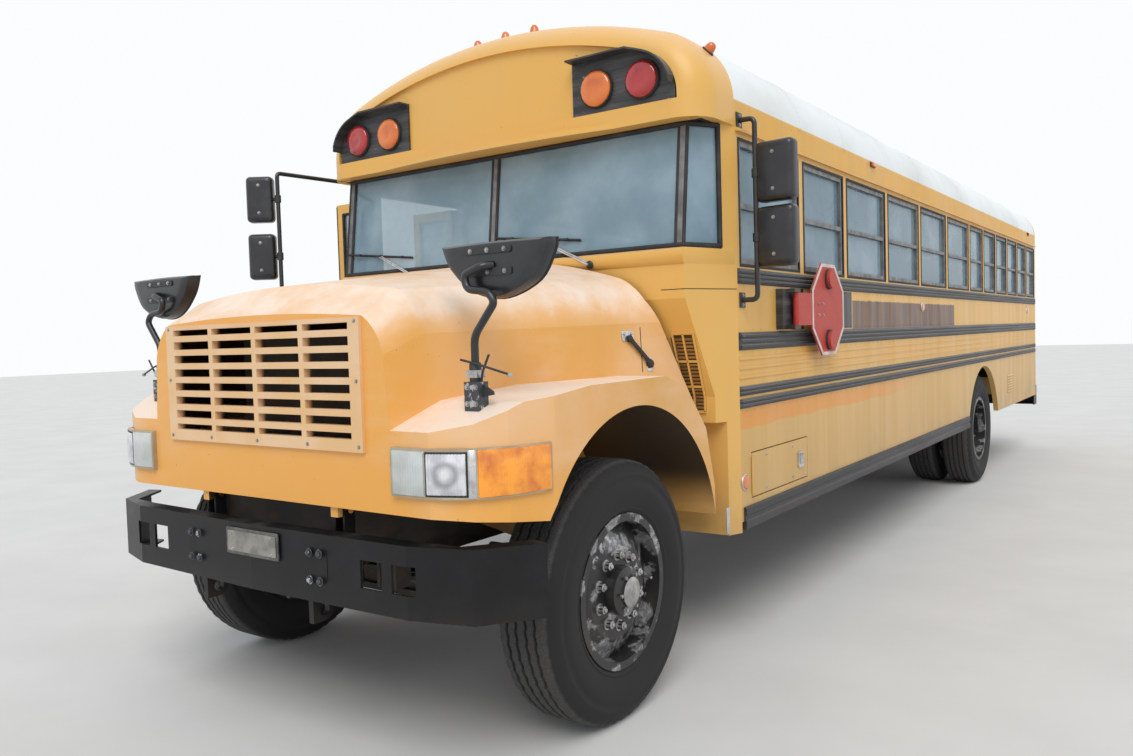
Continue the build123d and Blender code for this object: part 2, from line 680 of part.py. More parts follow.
def rub_rails():
    """Pressed rails along both sides, and the rail on the skirt's lower edge."""
    pieces = []
    for side in (1, -1):
        start = BODY_FRONT_Y if side > 0 else at(ENTRY_REAR + 40.0)
        for _, low, high in RAILS:
            edge = 8.0
            outline = [(side * HALF_WIDTH, low), (side * (HALF_WIDTH + RAIL_T), low + edge),
                       (side * (HALF_WIDTH + RAIL_T), high - edge), (side * HALF_WIDTH, high)]
            pieces.append(prism_y(outline, start, SHELL_REAR_Y))
        xs = sorted((side * (HALF_WIDTH - WALL), side * (HALF_WIDTH + RAIL_T)))
        arch_half = sqrt(REAR_ARCH_R ** 2 - (SKIRT_Z - REAR_ARCH_Z) ** 2)
        arch_front = REAR_AXLE_Y + REAR_ARCH_Y - arch_half - 20.0
        skirt_start = at(BODY_START + 20.0) if side > 0 else start
        pieces.append(box(xs[0], xs[1], skirt_start, arch_front, SKIRT_Z - SKIRT_RAIL_H, SKIRT_Z))
    return group(pieces)


def roof():
    shell = body_prism(BODY_FRONT_Y, SHELL_REAR_Y, 0.0, EAVES_Z)
    return shell - body_prism(BODY_FRONT_Y - 1, SHELL_REAR_Y + 1, WALL, EAVES_Z - 1)


def front_cap():
    """Rounded header over the windshield, with a recessed sign panel and a brow."""
    front = at(CAP_FRONT)
    outer = body_prism(front, BODY_FRONT_Y, 0.0, CAP_LIP_Z)
    arch = outer.faces().sort_by(Axis.Y)[0].edges()
    arch = [e for e in arch if e.center().Z > CAP_LIP_Z + 1.0]
    outer = fillet(arch, CAP_ROUND)
    inner = body_prism(front + WALL, BODY_FRONT_Y + 1, WALL, CAP_LIP_Z - 1)
    recess = body_prism(front - 1, front + SIGN_DEPTH, SIGN_INSET, SIGN_BOTTOM)
    cap = outer - inner - recess
    brow_half = HALF_WIDTH - 20.0
    edges = [Line((-brow_half, front + 90.0, CAP_LIP_Z), (brow_half, front + 90.0, CAP_LIP_Z)),
             ThreePointArc((brow_half, front + 90.0, CAP_LIP_Z), (0, front - LIP_REACH, CAP_LIP_Z),
                           (-brow_half, front + 90.0, CAP_LIP_Z))]
    brow = extrude(make_face(edges), amount=LIP_T, dir=(0, 0, 1))
    return cap + brow


def lamp_pods():
    """Black housings with visors round the warning lamps, front and rear."""
    pods = []
    front = at(CAP_FRONT) + SIGN_DEPTH
    for side in (1, -1):
        xs = sorted((side * POD_IN, side * POD_OUT))
        slab = box(xs[0], xs[1], front - POD_T - POD_VISOR, front, SIGN_BOTTOM + FIT, POD_TOP)
        slab = slab & body_prism(front - POD_T - POD_VISOR, front, SIGN_INSET + FIT, SIGN_BOTTOM)
        hollow = box(xs[0] - 5, xs[1] + 5, front - POD_T - POD_VISOR - 1, front - POD_T,
                     SIGN_BOTTOM - 1, POD_TOP - 8.0)
        hollow = hollow & body_prism(front - POD_T - POD_VISOR - 1, front - POD_T, SIGN_INSET + FIT + 8.0,
                                     SIGN_BOTTOM - 1)
        pods.append(slab - hollow)
    for side in (1, -1):
        xs = sorted((side * POD_IN, side * (POD_OUT - 40.0)))
        pods.append(box(xs[0], xs[1], BODY_REAR_Y, BODY_REAR_Y + POD_T, SIGN_BOTTOM, POD_TOP - 30.0))
    return group(pods)


def signal_lamps():
    """Warning lamps, markers and tail lamps, all on the body."""
    pieces = []
    front = at(CAP_FRONT) + SIGN_DEPTH - POD_T
    for side in (1, -1):
        for x in (AMBER_X, RED_X):
            pieces.append(rod((side * x, front, LAMP_Z), (side * x, front - LAMP_T, LAMP_Z), LAMP_R))
            rear = BODY_REAR_Y + POD_T
            pieces.append(rod((side * x * 0.97, rear, LAMP_Z), (side * x * 0.97, rear + LAMP_T, LAMP_Z),
                              LAMP_R))
        for z, r in ((1660.0, 88.0), (1400.0, 88.0), (1180.0, 50.0)):
            x = side * TAIL_LAMP_X
            pieces.append(rod((x, BODY_REAR_Y, z), (x, BODY_REAR_Y + 30.0, z), r))
    _, centre_z, crown_r, _, _ = crown(0.0)
    for x in (-190.0, 0.0, 190.0):
        inner_edge = max(abs(x) - 28.0, 0.0)
        z = centre_z + sqrt(crown_r ** 2 - inner_edge ** 2)
        y0 = BODY_FRONT_Y - 130.0
        pieces.append(box(x - 28.0, x + 28.0, y0, y0 + 90.0, z + FIT, z + 42.0))
        pieces.append(box(x - 28.0, x + 28.0, SHELL_REAR_Y - 120.0, SHELL_REAR_Y - 60.0, z + FIT, z + 34.0))
    return group(pieces)


def corner_x(y):
    """Half width of the body's front corner panel at a place ahead of the side walls."""
    share = (y - COWL_TOP_Y) / (BODY_START - COWL_TOP_Y)
    return CORNER_START + (HALF_WIDTH - CORNER_START) * share


def cowl_block(t, low_z, high_z):
    """Front wall and corners as one block, set in by t."""
    back = BODY_START + (1 if t else 0)
    side = [(back, low_z), (COWL_LOW_Y + t, low_z), (COWL_LOW_Y + t, COWL_STEP_Z + t),
            (COWL_MID_Y + t, COWL_STEP_Z + t), (COWL_MID_Y + t, COWL_BEND_Z), (COWL_TOP_Y + t, COWL_KNEE_Z),
            (COWL_TOP_Y + t, high_z), (back, high_z)]
    half = HALF_WIDTH - t
    plan = [(-half, BODY_START + 2), (-half, BODY_START), (t - CORNER_START, COWL_TOP_Y),
            (CORNER_START - t, COWL_TOP_Y), (half, BODY_START), (half, BODY_START + 2)]
    block = prism_x([(at(y), z) for y, z in side], -HALF_WIDTH, HALF_WIDTH)
    return block & prism_z([(x, at(y)) for x, y in plan], low_z, high_z)


def cowl():
    """Firewall, corner panels with vents, windshield sill and corner posts."""
    shell = cowl_block(0.0, COWL_FOOT, SCREEN_FOOT_Z)
    shell -= cowl_block(COWL_T, COWL_FOOT - 1, SCREEN_FOOT_Z - COWL_T)
    shell -= box(-TUNNEL_HALF, TUNNEL_HALF, at(COWL_TOP_Y), BODY_FRONT_Y + 1, COWL_FOOT - 1,
                 FLOOR_Z - FLOOR_T - SILL_H)
    columns, rows, bar = 2, 3, 16.0
    width = (VENT_X1 - VENT_X0 - bar) / columns
    height = (VENT_Z1 - VENT_Z0 - 2 * bar) / rows
    for side in (1, -1):
        for column in range(columns):
            for line in range(rows):
                x = VENT_X0 + column * (width + bar)
                z = VENT_Z0 + line * (height + bar)
                xs = sorted((side * x, side * (x + width)))
                shell -= box(xs[0], xs[1], at(COWL_TOP_Y), at(COWL_LOW_Y) - 5.0, z, z + height)
    posts = []
    for side in (1, -1):
        outline = [(side * HALF_WIDTH, BODY_FRONT_Y), (side * (HALF_WIDTH - WALL), BODY_FRONT_Y),
                   (side * (corner_x(CORNER_Y) - 32.0), at(CORNER_Y)),
                   (side * corner_x(CORNER_Y), at(CORNER_Y))]
        posts.append(prism_z(outline, SCREEN_FOOT_Z, CAP_LIP_Z))
    return fuse([shell] + posts)


def rear_wall():
    wall = body_prism(SHELL_REAR_Y, BODY_REAR_Y, 0.0, SKIRT_Z)
    half = REAR_DOOR_W / 2 + DOOR_GAP
    wall -= box(-half, half, SHELL_REAR_Y - 1, BODY_REAR_Y + 1, REAR_DOOR_BOTTOM - DOOR_GAP,
                REAR_DOOR_TOP + DOOR_GAP)
    for side in (1, -1):
        xs = sorted((side * REAR_WINDOW_IN, side * REAR_WINDOW_OUT))
        wall -= box(xs[0], xs[1], SHELL_REAR_Y - 1, BODY_REAR_Y + 1, WINDOW_BOTTOM, WINDOW_TOP)
    return wall


def side_windows():
    """(side, middle y, width) of every side window."""
    places = []
    for side in (1, -1):
        for index, (start_y, end_y) in enumerate(bay_edges()):
            if side > 0 or index > 0:
                places.append((side, at((start_y + end_y) / 2), end_y - start_y - PILLAR))
    return places


def window_sashes():
    pieces = []
    mid_z, height = (WINDOW_BOTTOM + WINDOW_TOP) / 2, WINDOW_TOP - WINDOW_BOTTOM - 2 * FIT
    for side, y, width in side_windows():
        x = side * (HALF_WIDTH - SASH_T / 2 - 4.0)
        ring = Pos(x, y, mid_z) * Box(SASH_T, width - 2 * FIT, height)
        ring -= Pos(x, y, mid_z) * Box(2 * SASH_T, width - 2 * SASH_W, height - 2 * SASH_W)
        bar_x = x + side * SASH_T / 4
        ring += Pos(bar_x, y, SPLIT_Z) * Box(SASH_T / 2, width - SASH_W, SASH_W)
        pieces.append(ring)
    for side in (1, -1):
        x0, x1 = REAR_WINDOW_IN + FIT, REAR_WINDOW_OUT - FIT
        xs = sorted((side * x0, side * x1))
        hole = sorted((side * (x0 + SASH_W), side * (x1 - SASH_W)))
        ring = box(xs[0], xs[1], BODY_REAR_Y - 40.0, BODY_REAR_Y - 4.0, WINDOW_BOTTOM + FIT,
                   WINDOW_TOP - FIT)
        ring -= box(hole[0], hole[1], BODY_REAR_Y - 41.0, BODY_REAR_Y, WINDOW_BOTTOM + SASH_W,
                    WINDOW_TOP - SASH_W)
        pieces.append(ring)
    # windshield dividers: the middle one and one at each corner pane
    for x in (0.0, SCREEN_HALF, -SCREEN_HALF):
        pieces.append(screen_slab(x - DIVIDER_W / 2, x + DIVIDER_W / 2, -8.0, 22.0))
    return group(pieces)


def screen_slab(x0, x1, front, back):
    """A slab in the windshield's plane, from front to back of it."""
    foot, head = at(SCREEN_FOOT_Y), at(SCREEN_HEAD_Y)
    return prism_x([(foot + front, SCREEN_FOOT_Z), (head + front, CAP_LIP_Z),
                    (head + back, CAP_LIP_Z), (foot + back, SCREEN_FOOT_Z)], x0, x1)


def corner_pane(side):
    """Narrow pane from the outer divider round to the corner post."""
    start = side * (SCREEN_HALF + DIVIDER_W / 2 + FIT)
    end_x, end_y = side * (corner_x(CORNER_Y) - 14.0), at(CORNER_Y) - FIT
    ends = []
    for y, z in ((at(SCREEN_FOOT_Y), SCREEN_FOOT_Z), (at(SCREEN_HEAD_Y), CAP_LIP_Z)):
        ends.append(make_face(Polyline((start, y, z), (end_x, end_y, z),
                                       (end_x - side * GLASS_T, end_y, z),
                                       (start, y + GLASS_T * 2, z), close=True)))
    return loft(ends, ruled=True)


def body_glass():
    panes = []
    mid_z, height = (WINDOW_BOTTOM + WINDOW_TOP) / 2, WINDOW_TOP - WINDOW_BOTTOM
    for side, y, width in side_windows():
        x = side * (HALF_WIDTH - SASH_T / 2 - 4.0 - SASH_T / 4)
        panes.append(Pos(x, y, mid_z) * Box(GLASS_T, width - 2 * SASH_W - 2 * FIT,
                                            height - 2 * SASH_W - 2 * FIT))
    for side in (1, -1):
        x0, x1 = REAR_WINDOW_IN + SASH_W + 2 * FIT, REAR_WINDOW_OUT - SASH_W - 2 * FIT
        xs = sorted((side * x0, side * x1))
        panes.append(box(xs[0], xs[1], BODY_REAR_Y - 25.0, BODY_REAR_Y - 25.0 + GLASS_T,
                         WINDOW_BOTTOM + SASH_W + 2 * FIT, WINDOW_TOP - SASH_W - 2 * FIT))
        inner = sorted((side * (DIVIDER_W / 2 + FIT), side * (SCREEN_HALF - DIVIDER_W / 2 - FIT)))
        panes.append(screen_slab(inner[0], inner[1], 0.0, GLASS_T))
        panes.append(corner_pane(side))
    return group(panes)


def front_bumper():
    """Pressed steel channel, bent back at the ends, with two pairs of slots."""
    front = at(-FRONT_OVERHANG)
    end = HALF_WIDTH - 10.0
    line = [(0.0, 0.0), (end - 390.0, 22.0), (end - 150.0, 90.0), (end, 290.0)]

    def band(offset_out, offset_in, z0, z1):
        outer = [(x - 0.4 * offset_out if i == len(line) - 1 else x, y + offset_out)
                 for i, (x, y) in enumerate(line)]
        inner = [(x - (offset_in if i >= 2 else 0.0), y + (offset_in if i < 2 else offset_in * 0.3))
                 for i, (x, y) in enumerate(line)]
        points = outer + inner[::-1]
        points = [(x, front + y) for x, y in points]
        return prism_z(points, z0, z1)

    face = band(0.0, BUMPER_T, BUMPER_BOTTOM, BUMPER_TOP)
    top = band(0.0, BUMPER_FLANGE, BUMPER_TOP - BUMPER_T, BUMPER_TOP)
    bottom = band(0.0, BUMPER_FLANGE, BUMPER_BOTTOM, BUMPER_BOTTOM + BUMPER_T)
    half = face + top + bottom
    for x in (650.0, 800.0):
        half -= box(x - 52.0, x + 52.0, front - 5, front + 60.0, 690.0, 790.0)
    bracket = box(RAIL_X - 60.0, RAIL_X, front + BUMPER_T, at(-780.0), 700.0, 800.0)
    # ears that carry the hood's tilt pins
    pivot = at(HOOD_PIVOT_Y)
    for x in (HINGE_X - HINGE_HALF - 10.0, HINGE_X + HINGE_HALF):
        bracket += box(x, x + 10.0, pivot - 30.0, pivot + 19.0, 799.0, HOOD_PIVOT_Z + 28.0)
    bracket -= rod((HINGE_X - 60.0, pivot, HOOD_PIVOT_Z), (HINGE_X + 60.0, pivot, HOOD_PIVOT_Z),
                   HINGE_PIN_R + FIT)
    eye = (front + 64.0, BUMPER_BOTTOM - 44.0)
    x0, x1, hook_r = HOOK_X - HOOK_T / 2, HOOK_X + HOOK_T / 2, 42.0
    hook = box(x0, x1, front + 12.0, eye[0], eye[1] - hook_r, BUMPER_BOTTOM)
    hook += box(x0, x1, eye[0], eye[0] + hook_r, eye[1], BUMPER_BOTTOM)
    hook += rod((x0, eye[0], eye[1]), (x1, eye[0], eye[1]), hook_r)
    hook -= rod((HOOK_X - HOOK_T, eye[0], eye[1]), (HOOK_X + HOOK_T, eye[0], eye[1]), HOOK_BORE_R)
    return fuse([both(half), both(bracket), both(hook)])


def rear_bumper():
    """Channel beam with returned ends, on two arms under the frame's ends."""
    rear = at(BODY_END + REAR_BUMPER_REACH)
    low, high, sheet = REAR_BUMPER_BOTTOM, REAR_BUMPER_TOP, 2 * SHEET
    half = HALF_WIDTH - 20.0
    frame_foot = FRAME_TOP - RAIL_H
    beam = box(-half, half, rear - sheet, rear, low, high)
    beam += box(-half, half, rear - 80.0, rear, high - sheet, high)
    beam += box(-half, half, rear - 80.0, rear, low, low + sheet)
    frame_end = at(BODY_END - 120.0)
    for side in (1, -1):
        ends = sorted((side * (half - sheet), side * half))
        arm = sorted((side * (RAIL_X - 60.0), side * RAIL_X))
        beam += box(ends[0], ends[1], rear - 190.0, rear, low, high)
        beam += box(arm[0], arm[1], frame_end - 200.0, rear - sheet + 1, 550.0, 640.0)
        beam += box(arm[0], arm[1], frame_end - 200.0, frame_end - 60.0, 550.0, frame_foot)
    return beam


def mirror_head(side, x, y, z, turn, half_w, half_h):
    head = Box(2 * half_w, 64.0, 2 * half_h)
    head = fillet(head.edges().filter_by(Axis.Y), 24.0)
    head = chamfer(head.faces().sort_by(Axis.Y)[0].edges(), 22.0)
    return Pos(side * x, at(y), z) * Rot(0, 0, turn) * head


def mirrors():
    """Two flat mirror heads on a tube arm at each front corner."""
    wall_x = HALF_WIDTH + FIT
    tube_x, tube_y = HALF_WIDTH + 80.0, at(915.0)
    left_heads = [mirror_head(1, HALF_WIDTH + 175.0, 925.0, z, -8.0, 96.0, 138.0) for z in LEFT_MIRRORS_Z]
    left_arm = pipe([(wall_x, tube_y, MIRROR_TOP_Z), (tube_x, tube_y, MIRROR_TOP_Z),
                     (tube_x, tube_y, 1690.0), (wall_x, tube_y, 1690.0)], MIRROR_TUBE_R, 30.0)
    for z in LEFT_MIRRORS_Z:
        left_arm += rod((tube_x, tube_y, z), (tube_x + 45.0, tube_y + 8.0, z), MIRROR_TUBE_R - 1.0)
    right_heads = [mirror_head(-1, HALF_WIDTH + 198.0, 225.0, z, 35.0, 76.0, 130.0) for z in RIGHT_MIRRORS_Z]
    tube_x, tube_y = -HALF_WIDTH - 105.0, at(275.0)
    # the lower end lands square on the corner panel
    panel_y, panel_z = 740.0, 1790.0
    run, rise = BODY_START - COWL_TOP_Y, CORNER_TAPER
    normal = Vector(-run, -rise, 0).normalized()
    seat = Vector(-corner_x(panel_y), at(panel_y), panel_z)
    right_arm = pipe([(-wall_x, at(800.0), MIRROR_TOP_Z), (-wall_x - 70.0, at(800.0), MIRROR_TOP_Z),
                      (tube_x, tube_y, MIRROR_TOP_Z), (tube_x, tube_y, panel_z),
                      tuple(seat + normal * 90.0), tuple(seat + normal * FIT)], MIRROR_TUBE_R, 24.0)
    for z in RIGHT_MIRRORS_Z:
        right_arm += rod((tube_x, tube_y, z), (tube_x - 65.0, at(250.0), z), MIRROR_TUBE_R - 1.0)
    arms = [left_arm - left_heads[0] - left_heads[1], right_arm - right_heads[0] - right_heads[1]]
    return group(arms + left_heads + right_heads)


def dash():
    y0, y1 = at(COWL_LOW_Y + COWL_T) + FIT, at(1010.0)
    dash_end = TOE_HALF
    outline = [(y0, 1500.0), (y0, 1860.0), (y0 + 60.0, 1880.0), (y1, 1830.0), (y1, 1640.0),
               (y0 + 90.0, 1500.0)]
    panel = prism_x(outline, -700.0, dash_end)
    kick = box(-700.0, dash_end, y0, y0 + 20.0, FLOOR_Z, 1501.0)
    hub = (STEERING_X, at(1180.0), 1860.0)
    column = rod((STEERING_X, at(960.0), 1640.0), hub, 30.0)
    plane = Plane(origin=hub, z_dir=Vector(0, 220.0, 220.0))
    wheel = plane * Torus(215.0, 14.0)
    spokes = [plane * Rot(0, 0, turn) * Pos(105.0, 0, -4.0) * Box(215.0, 30.0, 12.0)
              for turn in (90.0, 210.0, 330.0)]
    return fuse([panel, kick, column, wheel] + spokes)


def bench(y, side):
    """One seat: cushion and leaning back on two legs and a wall ledge."""
    wall_x = HALF_WIDTH - WALL - SEAT_GAP
    x0, x1 = sorted((side * wall_x, side * (wall_x - SEAT_W)))
    low, top, rear = FLOOR_Z + SEAT_H - SEAT_PAD, FLOOR_Z + SEAT_H, y + SEAT_DEPTH
    cushion = box(x0, x1, y, rear, low, top)
    back = prism_x([(rear, low), (rear, top), (rear + SEAT_LEAN, FLOOR_Z + SEAT_BACK_H),
                    (rear + SEAT_LEAN + SEAT_BACK_T, FLOOR_Z + SEAT_BACK_H), (rear + SEAT_BACK_T, low)],
                   x0, x1)
    aisle_x = wall_x - SEAT_W + 60.0
    leg = sorted((side * aisle_x, side * (aisle_x + SEAT_LEG)))
    legs = [box(leg[0], leg[1], leg_y, leg_y + SEAT_LEG, FLOOR_Z, low)
            for leg_y in (y + 60.0, rear - 60.0)]
    ledge = sorted((side * (wall_x - 40.0), side * (HALF_WIDTH - WALL)))
    legs.append(box(ledge[0], ledge[1], y + 40.0, rear, low - 30.0, low))
    return [cushion, back] + legs


def seats():
    pieces = []
    for row in range(SEAT_ROWS):
        for side in (1, -1):
            pieces += bench(at(SEAT_FIRST + row * SEAT_PITCH), side)
    y, x = at(DRIVER_Y), STEERING_X
    rear, low, high = y + 420.0, FLOOR_Z + SEAT_H, FLOOR_Z + 1120.0
    cushion = box(x - 240.0, x + 240.0, y, rear, low, low + SEAT_PAD)
    back = prism_x([(rear, low), (rear, low + SEAT_PAD), (rear + 80.0, high), (rear + 170.0, high),
                    (rear + 90.0, low)], x - 230.0, x + 230.0)
    post = box(x - 120.0, x + 120.0, y + 110.0, rear - 70.0, FLOOR_Z, low)
    return group(pieces + [cushion, back, post])


# Hood, fenders and what they carry

# Half sections of the engine cover: y, foot half width, shoulder start x and z, shoulder end x
# and z, crown z on the centre line
HOOD_SECTIONS = [
    (HOOD_FRONT, 720.0, 700.0, 1500.0, 600.0, 1640.0, 1662.0),
    (-700.0, 745.0, 730.0, 1570.0, 620.0, 1735.0, 1780.0),
    (HOOD_END, 1066.0, 1002.0, 1600.0, 822.0, 1812.0, 1948.0),
]
HOOD_FOOT = 1230.0
NOSE_FOOT = 950.0
NOSE_TOP = 1240.0
NOSE_BACK = -600.0


def hood_section(row, inset):
    """Cross-section of the engine cover, set in by the skin."""
    y, foot, sx, sz, ex, ez, top = row
    mid_x = (sx + ex) / 2 + 0.11 * (ez - sz)
    mid_z = (sz + ez) / 2 + 0.11 * (sx - ex)
    foot_z = HOOD_FOOT - 3 * inset
    right = [(foot - inset, y, foot_z), (sx - inset, y, sz),
             (mid_x - 0.7 * inset, y, mid_z - 0.7 * inset), (ex - 0.3 * inset, y, ez - inset)]
    left = [(-x, y, z) for x, y, z in right]
    return make_face([Line(left[0], right[0]), Line(right[0], right[1]),
                      ThreePointArc(right[1], right[2], right[3]),
                      ThreePointArc(right[3], (0, y, top - inset), left[3]),
                      ThreePointArc(left[3], left[2], left[1]), Line(left[1], left[0])])


def hood_cover(inset):
    faces = []
    for i, row in enumerate(HOOD_SECTIONS):
        shift = inset if i == 0 else 0.0
        faces.append(hood_section((at(row[0]) + shift,) + row[1:], inset))
    return loft(faces, ruled=True)


def fender(inset):
    """Left fender: a side outline and a plan outline cut from one block."""
    t, open_by = inset, 5.0 if inset else 0.0
    side = [(HOOD_FRONT + t, NOSE_FOOT - open_by), (HOOD_FRONT + t, NOSE_TOP - t), (-640.0, 1330.0 - t),
            (-300.0, 1365.0 - t), (255.0, 1370.0 - t), (440.0, 1300.0 - t), (600.0, 1120.0 - t),
            (672.0 - t, 860.0), (FENDER_REAR - t, 560.0 - open_by), (300.0, 560.0 - open_by),
            (-480.0, 905.0 - open_by)]
    inner = WELL_X - HOOD_T - open_by
    plan = [(inner, HOOD_FRONT + t), (900.0, HOOD_FRONT + t), (1040.0 - t, -800.0 + t),
            (1110.0 - t, -700.0), (FENDER_X - t, -520.0), (FENDER_X + 10 - t, 700.0), (inner, 700.0)]
    block = prism_x([(at(y), z) for y, z in side], inner, FENDER_X + 20.0)
    return block & prism_z([(x, at(y)) for x, y in plan], 500.0, 1500.0)


def nose(inset):
    """Front valance under the grille, from fender to fender."""
    half = WELL_X - HOOD_T + 1.0 + inset
    top = NOSE_TOP - inset
    return box(-half, half, at(HOOD_FRONT) + inset, at(NOSE_BACK) + inset, NOSE_FOOT - inset, top)


def arch(radius, x0, x1, low_z):
    """Round-topped wheel opening, straight down below its centre."""
    y = at(ARCH_Y)
    edges = [Line((x0, y - radius, low_z), (x0, y - radius, ARCH_Z)),
             ThreePointArc((x0, y - radius, ARCH_Z), (x0, y, ARCH_Z + radius), (x0, y + radius, ARCH_Z)),
             Line((x0, y + radius, ARCH_Z), (x0, y + radius, low_z)),
             Line((x0, y + radius, low_z), (x0, y - radius, low_z))]
    return extrude(make_face(edges), amount=x1 - x0, dir=(1, 0, 0))


def hood():
    left = fender(0.0)
    outer = fuse([hood_cover(0.0), nose(0.0), both(left)])
    left_in = fender(HOOD_T)
    hollow = fuse([hood_cover(HOOD_T), nose(HOOD_T), both(left_in)])
    wall = arch(ARCH_R + HOOD_T, WELL_X - HOOD_T, FENDER_X + 30.0, 500.0)
    hollow = hollow - wall - mirrored(wall)
    void = arch(ARCH_R, WELL_X, FENDER_X + 60.0, 400.0)
    shell = outer - hollow - void - mirrored(void)
    front = at(HOOD_FRONT)
    shell -= box(-GRILLE_HALF, GRILLE_HALF, front - 1, front + HOOD_T + 1, GRILLE_BOTTOM, GRILLE_TOP)
    # lugs inside the nose, each with its tilt pin
    pivot = at(HOOD_PIVOT_Y)
    for side in (1, -1):
        xs = sorted((side * (HINGE_X - HINGE_HALF + 1.0), side * (HINGE_X + HINGE_HALF - 1.0)))
        shell += box(xs[0], xs[1], front + HOOD_T - 1, pivot + 20.0, HOOD_PIVOT_Z - 20.0,
                     HOOD_PIVOT_Z + 80.0)
        pin = [(side * (HINGE_X + end), pivot, HOOD_PIVOT_Z) for end in (-32.0, 32.0)]
        shell += rod(pin[0], pin[1], HINGE_PIN_R)
    # the rear edge follows the cowl a seal's width ahead of it
    rear = [(COWL_TOP_Y - SEAL, 2200.0), (COWL_TOP_Y - SEAL, COWL_KNEE_Z),
            (COWL_MID_Y - SEAL, COWL_BEND_Z), (COWL_MID_Y - SEAL, 500.0), (900.0, 500.0), (900.0, 2200.0)]
    return shell - prism_x([(at(y), z) for y, z in rear], -1300.0, 1300.0)


def grille():
    """Frame with horizontal slats and upright bars, set in the hood's front."""
    front = at(HOOD_FRONT)
    depth = 40.0
    y0 = front - 14.0
    half, low, high = GRILLE_HALF - FIT, GRILLE_BOTTOM + FIT, GRILLE_TOP - FIT
    lip = box(-half - GRILLE_FRAME, half + GRILLE_FRAME, y0, front - FIT, low - GRILLE_FRAME * 0.8,
              high + 10.0)
    body = box(-half, half, y0, y0 + depth, low, high)
    frame = lip + body
    width = (2 * half - (GRILLE_COLUMNS - 1) * GRILLE_BAR) / GRILLE_COLUMNS
    height = (high - low - (GRILLE_ROWS - 1) * SLAT_H) / GRILLE_ROWS
    for column in range(GRILLE_COLUMNS):
        x = -half + column * (width + GRILLE_BAR)
        x0 = x + (10.0 if column == 0 else 0.0)
        x1 = x + width - (10.0 if column == GRILLE_COLUMNS - 1 else 0.0)
        for line in range(GRILLE_ROWS):
            z = low + line * (height + SLAT_H)
            z0 = z + (8.0 if line == 0 else 0.0)
            z1 = z + height - (8.0 if line == GRILLE_ROWS - 1 else 0.0)
            frame -= box(x0, x1, y0 - 1, y0 + depth + 1, z0, z1)
    return frame


def headlamps():
    """Head and turn lamps: one housing each side, wrapped round the fender's corner."""
    front = at(HOOD_FRONT)
    outline = [(LAMP_Y0, front - FIT), (900.0, front - FIT), (1040.0 + 0.3, at(-800.0) - 0.3),
               (1110.0 + 0.4, at(-700.0)), (FENDER_X - 8.0, at(-545.0)), (FENDER_X + 4.0, at(-545.0)),
               (1124.0, at(-712.0)), (1050.0, at(-822.0)), (905.0, front - 18.0), (LAMP_Y0, front - 18.0)]
    left = prism_z(outline, LAMP_BOX_Z0, LAMP_BOX_Z1)
    return group([left, mirrored(left)])


def crossview_mirrors():
    """D-shaped convex mirror on a bent tube at each fender, with a clamp and two stays."""
    foot = (965.0, at(-690.0), 1345.0)
    slope = (1330.0 - NOSE_TOP) / (-640.0 - HOOD_FRONT)
    seat = [(foot[1] + dy, NOSE_TOP + slope * (foot[1] + dy - at(HOOD_FRONT)) + FIT) for dy in (-26.0, 26.0)]
    bracket = prism_x(seat + [(foot[1] + 26.0, 1440.0), (foot[1] - 26.0, 1440.0)], foot[0] - 32.0,
                      foot[0] + 32.0)
    x, y, z = 1015.0, at(-650.0), 1800.0
    shell = [(x - 240.0, z + 80.0), (x + 240.0, z + 92.0), (x + 225.0, z + 20.0), (x + 120.0, z - 80.0),
             (x, z - 105.0), (x - 110.0, z - 80.0), (x - 205.0, z + 5.0)]
    bowl = prism_y(shell, y, y + 90.0)
    bowl = chamfer(bowl.faces().sort_by(Axis.Y)[0].edges(), 30.0)
    tube = pipe([(foot[0], foot[1], 1440.0), (foot[0], foot[1], 1560.0), (x + 20.0, y - 40.0, 1690.0),
                 (x - 60.0, y - 40.0, 1740.0), (x - 60.0, y + 20.0, 1760.0)], 14.0, 18.0)
    return group([both(fuse([bracket, bowl, tube]))])


# Doors and the stop arm

def entry_leaf(front):
    """One leaf of the entrance door, standing open square to the body on its hinge pin."""
    width = (ENTRY_REAR - ENTRY_FRONT) / 2 - 1.5 * DOOR_GAP
    way = 1 if front else -1
    jamb = at(ENTRY_FRONT) if front else at(ENTRY_REAR)
    pin_x = -HALF_WIDTH - PIN_PROUD - FIT
    y0, y1 = sorted((jamb + way * (PIN_PROUD + FIT), jamb + way * (PIN_PROUD + FIT + ENTRY_LEAF_T)))
    x1 = pin_x - DOOR_GAP
    x0 = x1 - width
    low, high = ENTRY_BOTTOM + 10.0, ENTRY_TOP - 10.0
    leaf = box(x0, x1, y0, y1, low, high)
    strap_y = sorted((jamb, jamb + way * (PIN_PROUD + 6.0)))
    leaf += box(x1 - 6.0, pin_x - 0.7, strap_y[0], strap_y[1], low, high)
    leaf += rod((pin_x, jamb, low), (pin_x, jamb, high), PIN_PROUD)
    frame = 52.0
    lights = [(560.0, 1240.0), (1310.0, ENTRY_TOP - 70.0)]
    panes = []
    middle = (y0 + y1) / 2
    for z0, z1 in lights:
        leaf -= box(x0 + frame, x1 - frame, y0 - 1, y1 + 1, z0, z1)
        panes.append(box(x0 + frame + FIT, x1 - frame - FIT, middle - GLASS_T / 2,
                         middle + GLASS_T / 2, z0 + FIT, z1 - FIT))
    return leaf, group(panes)


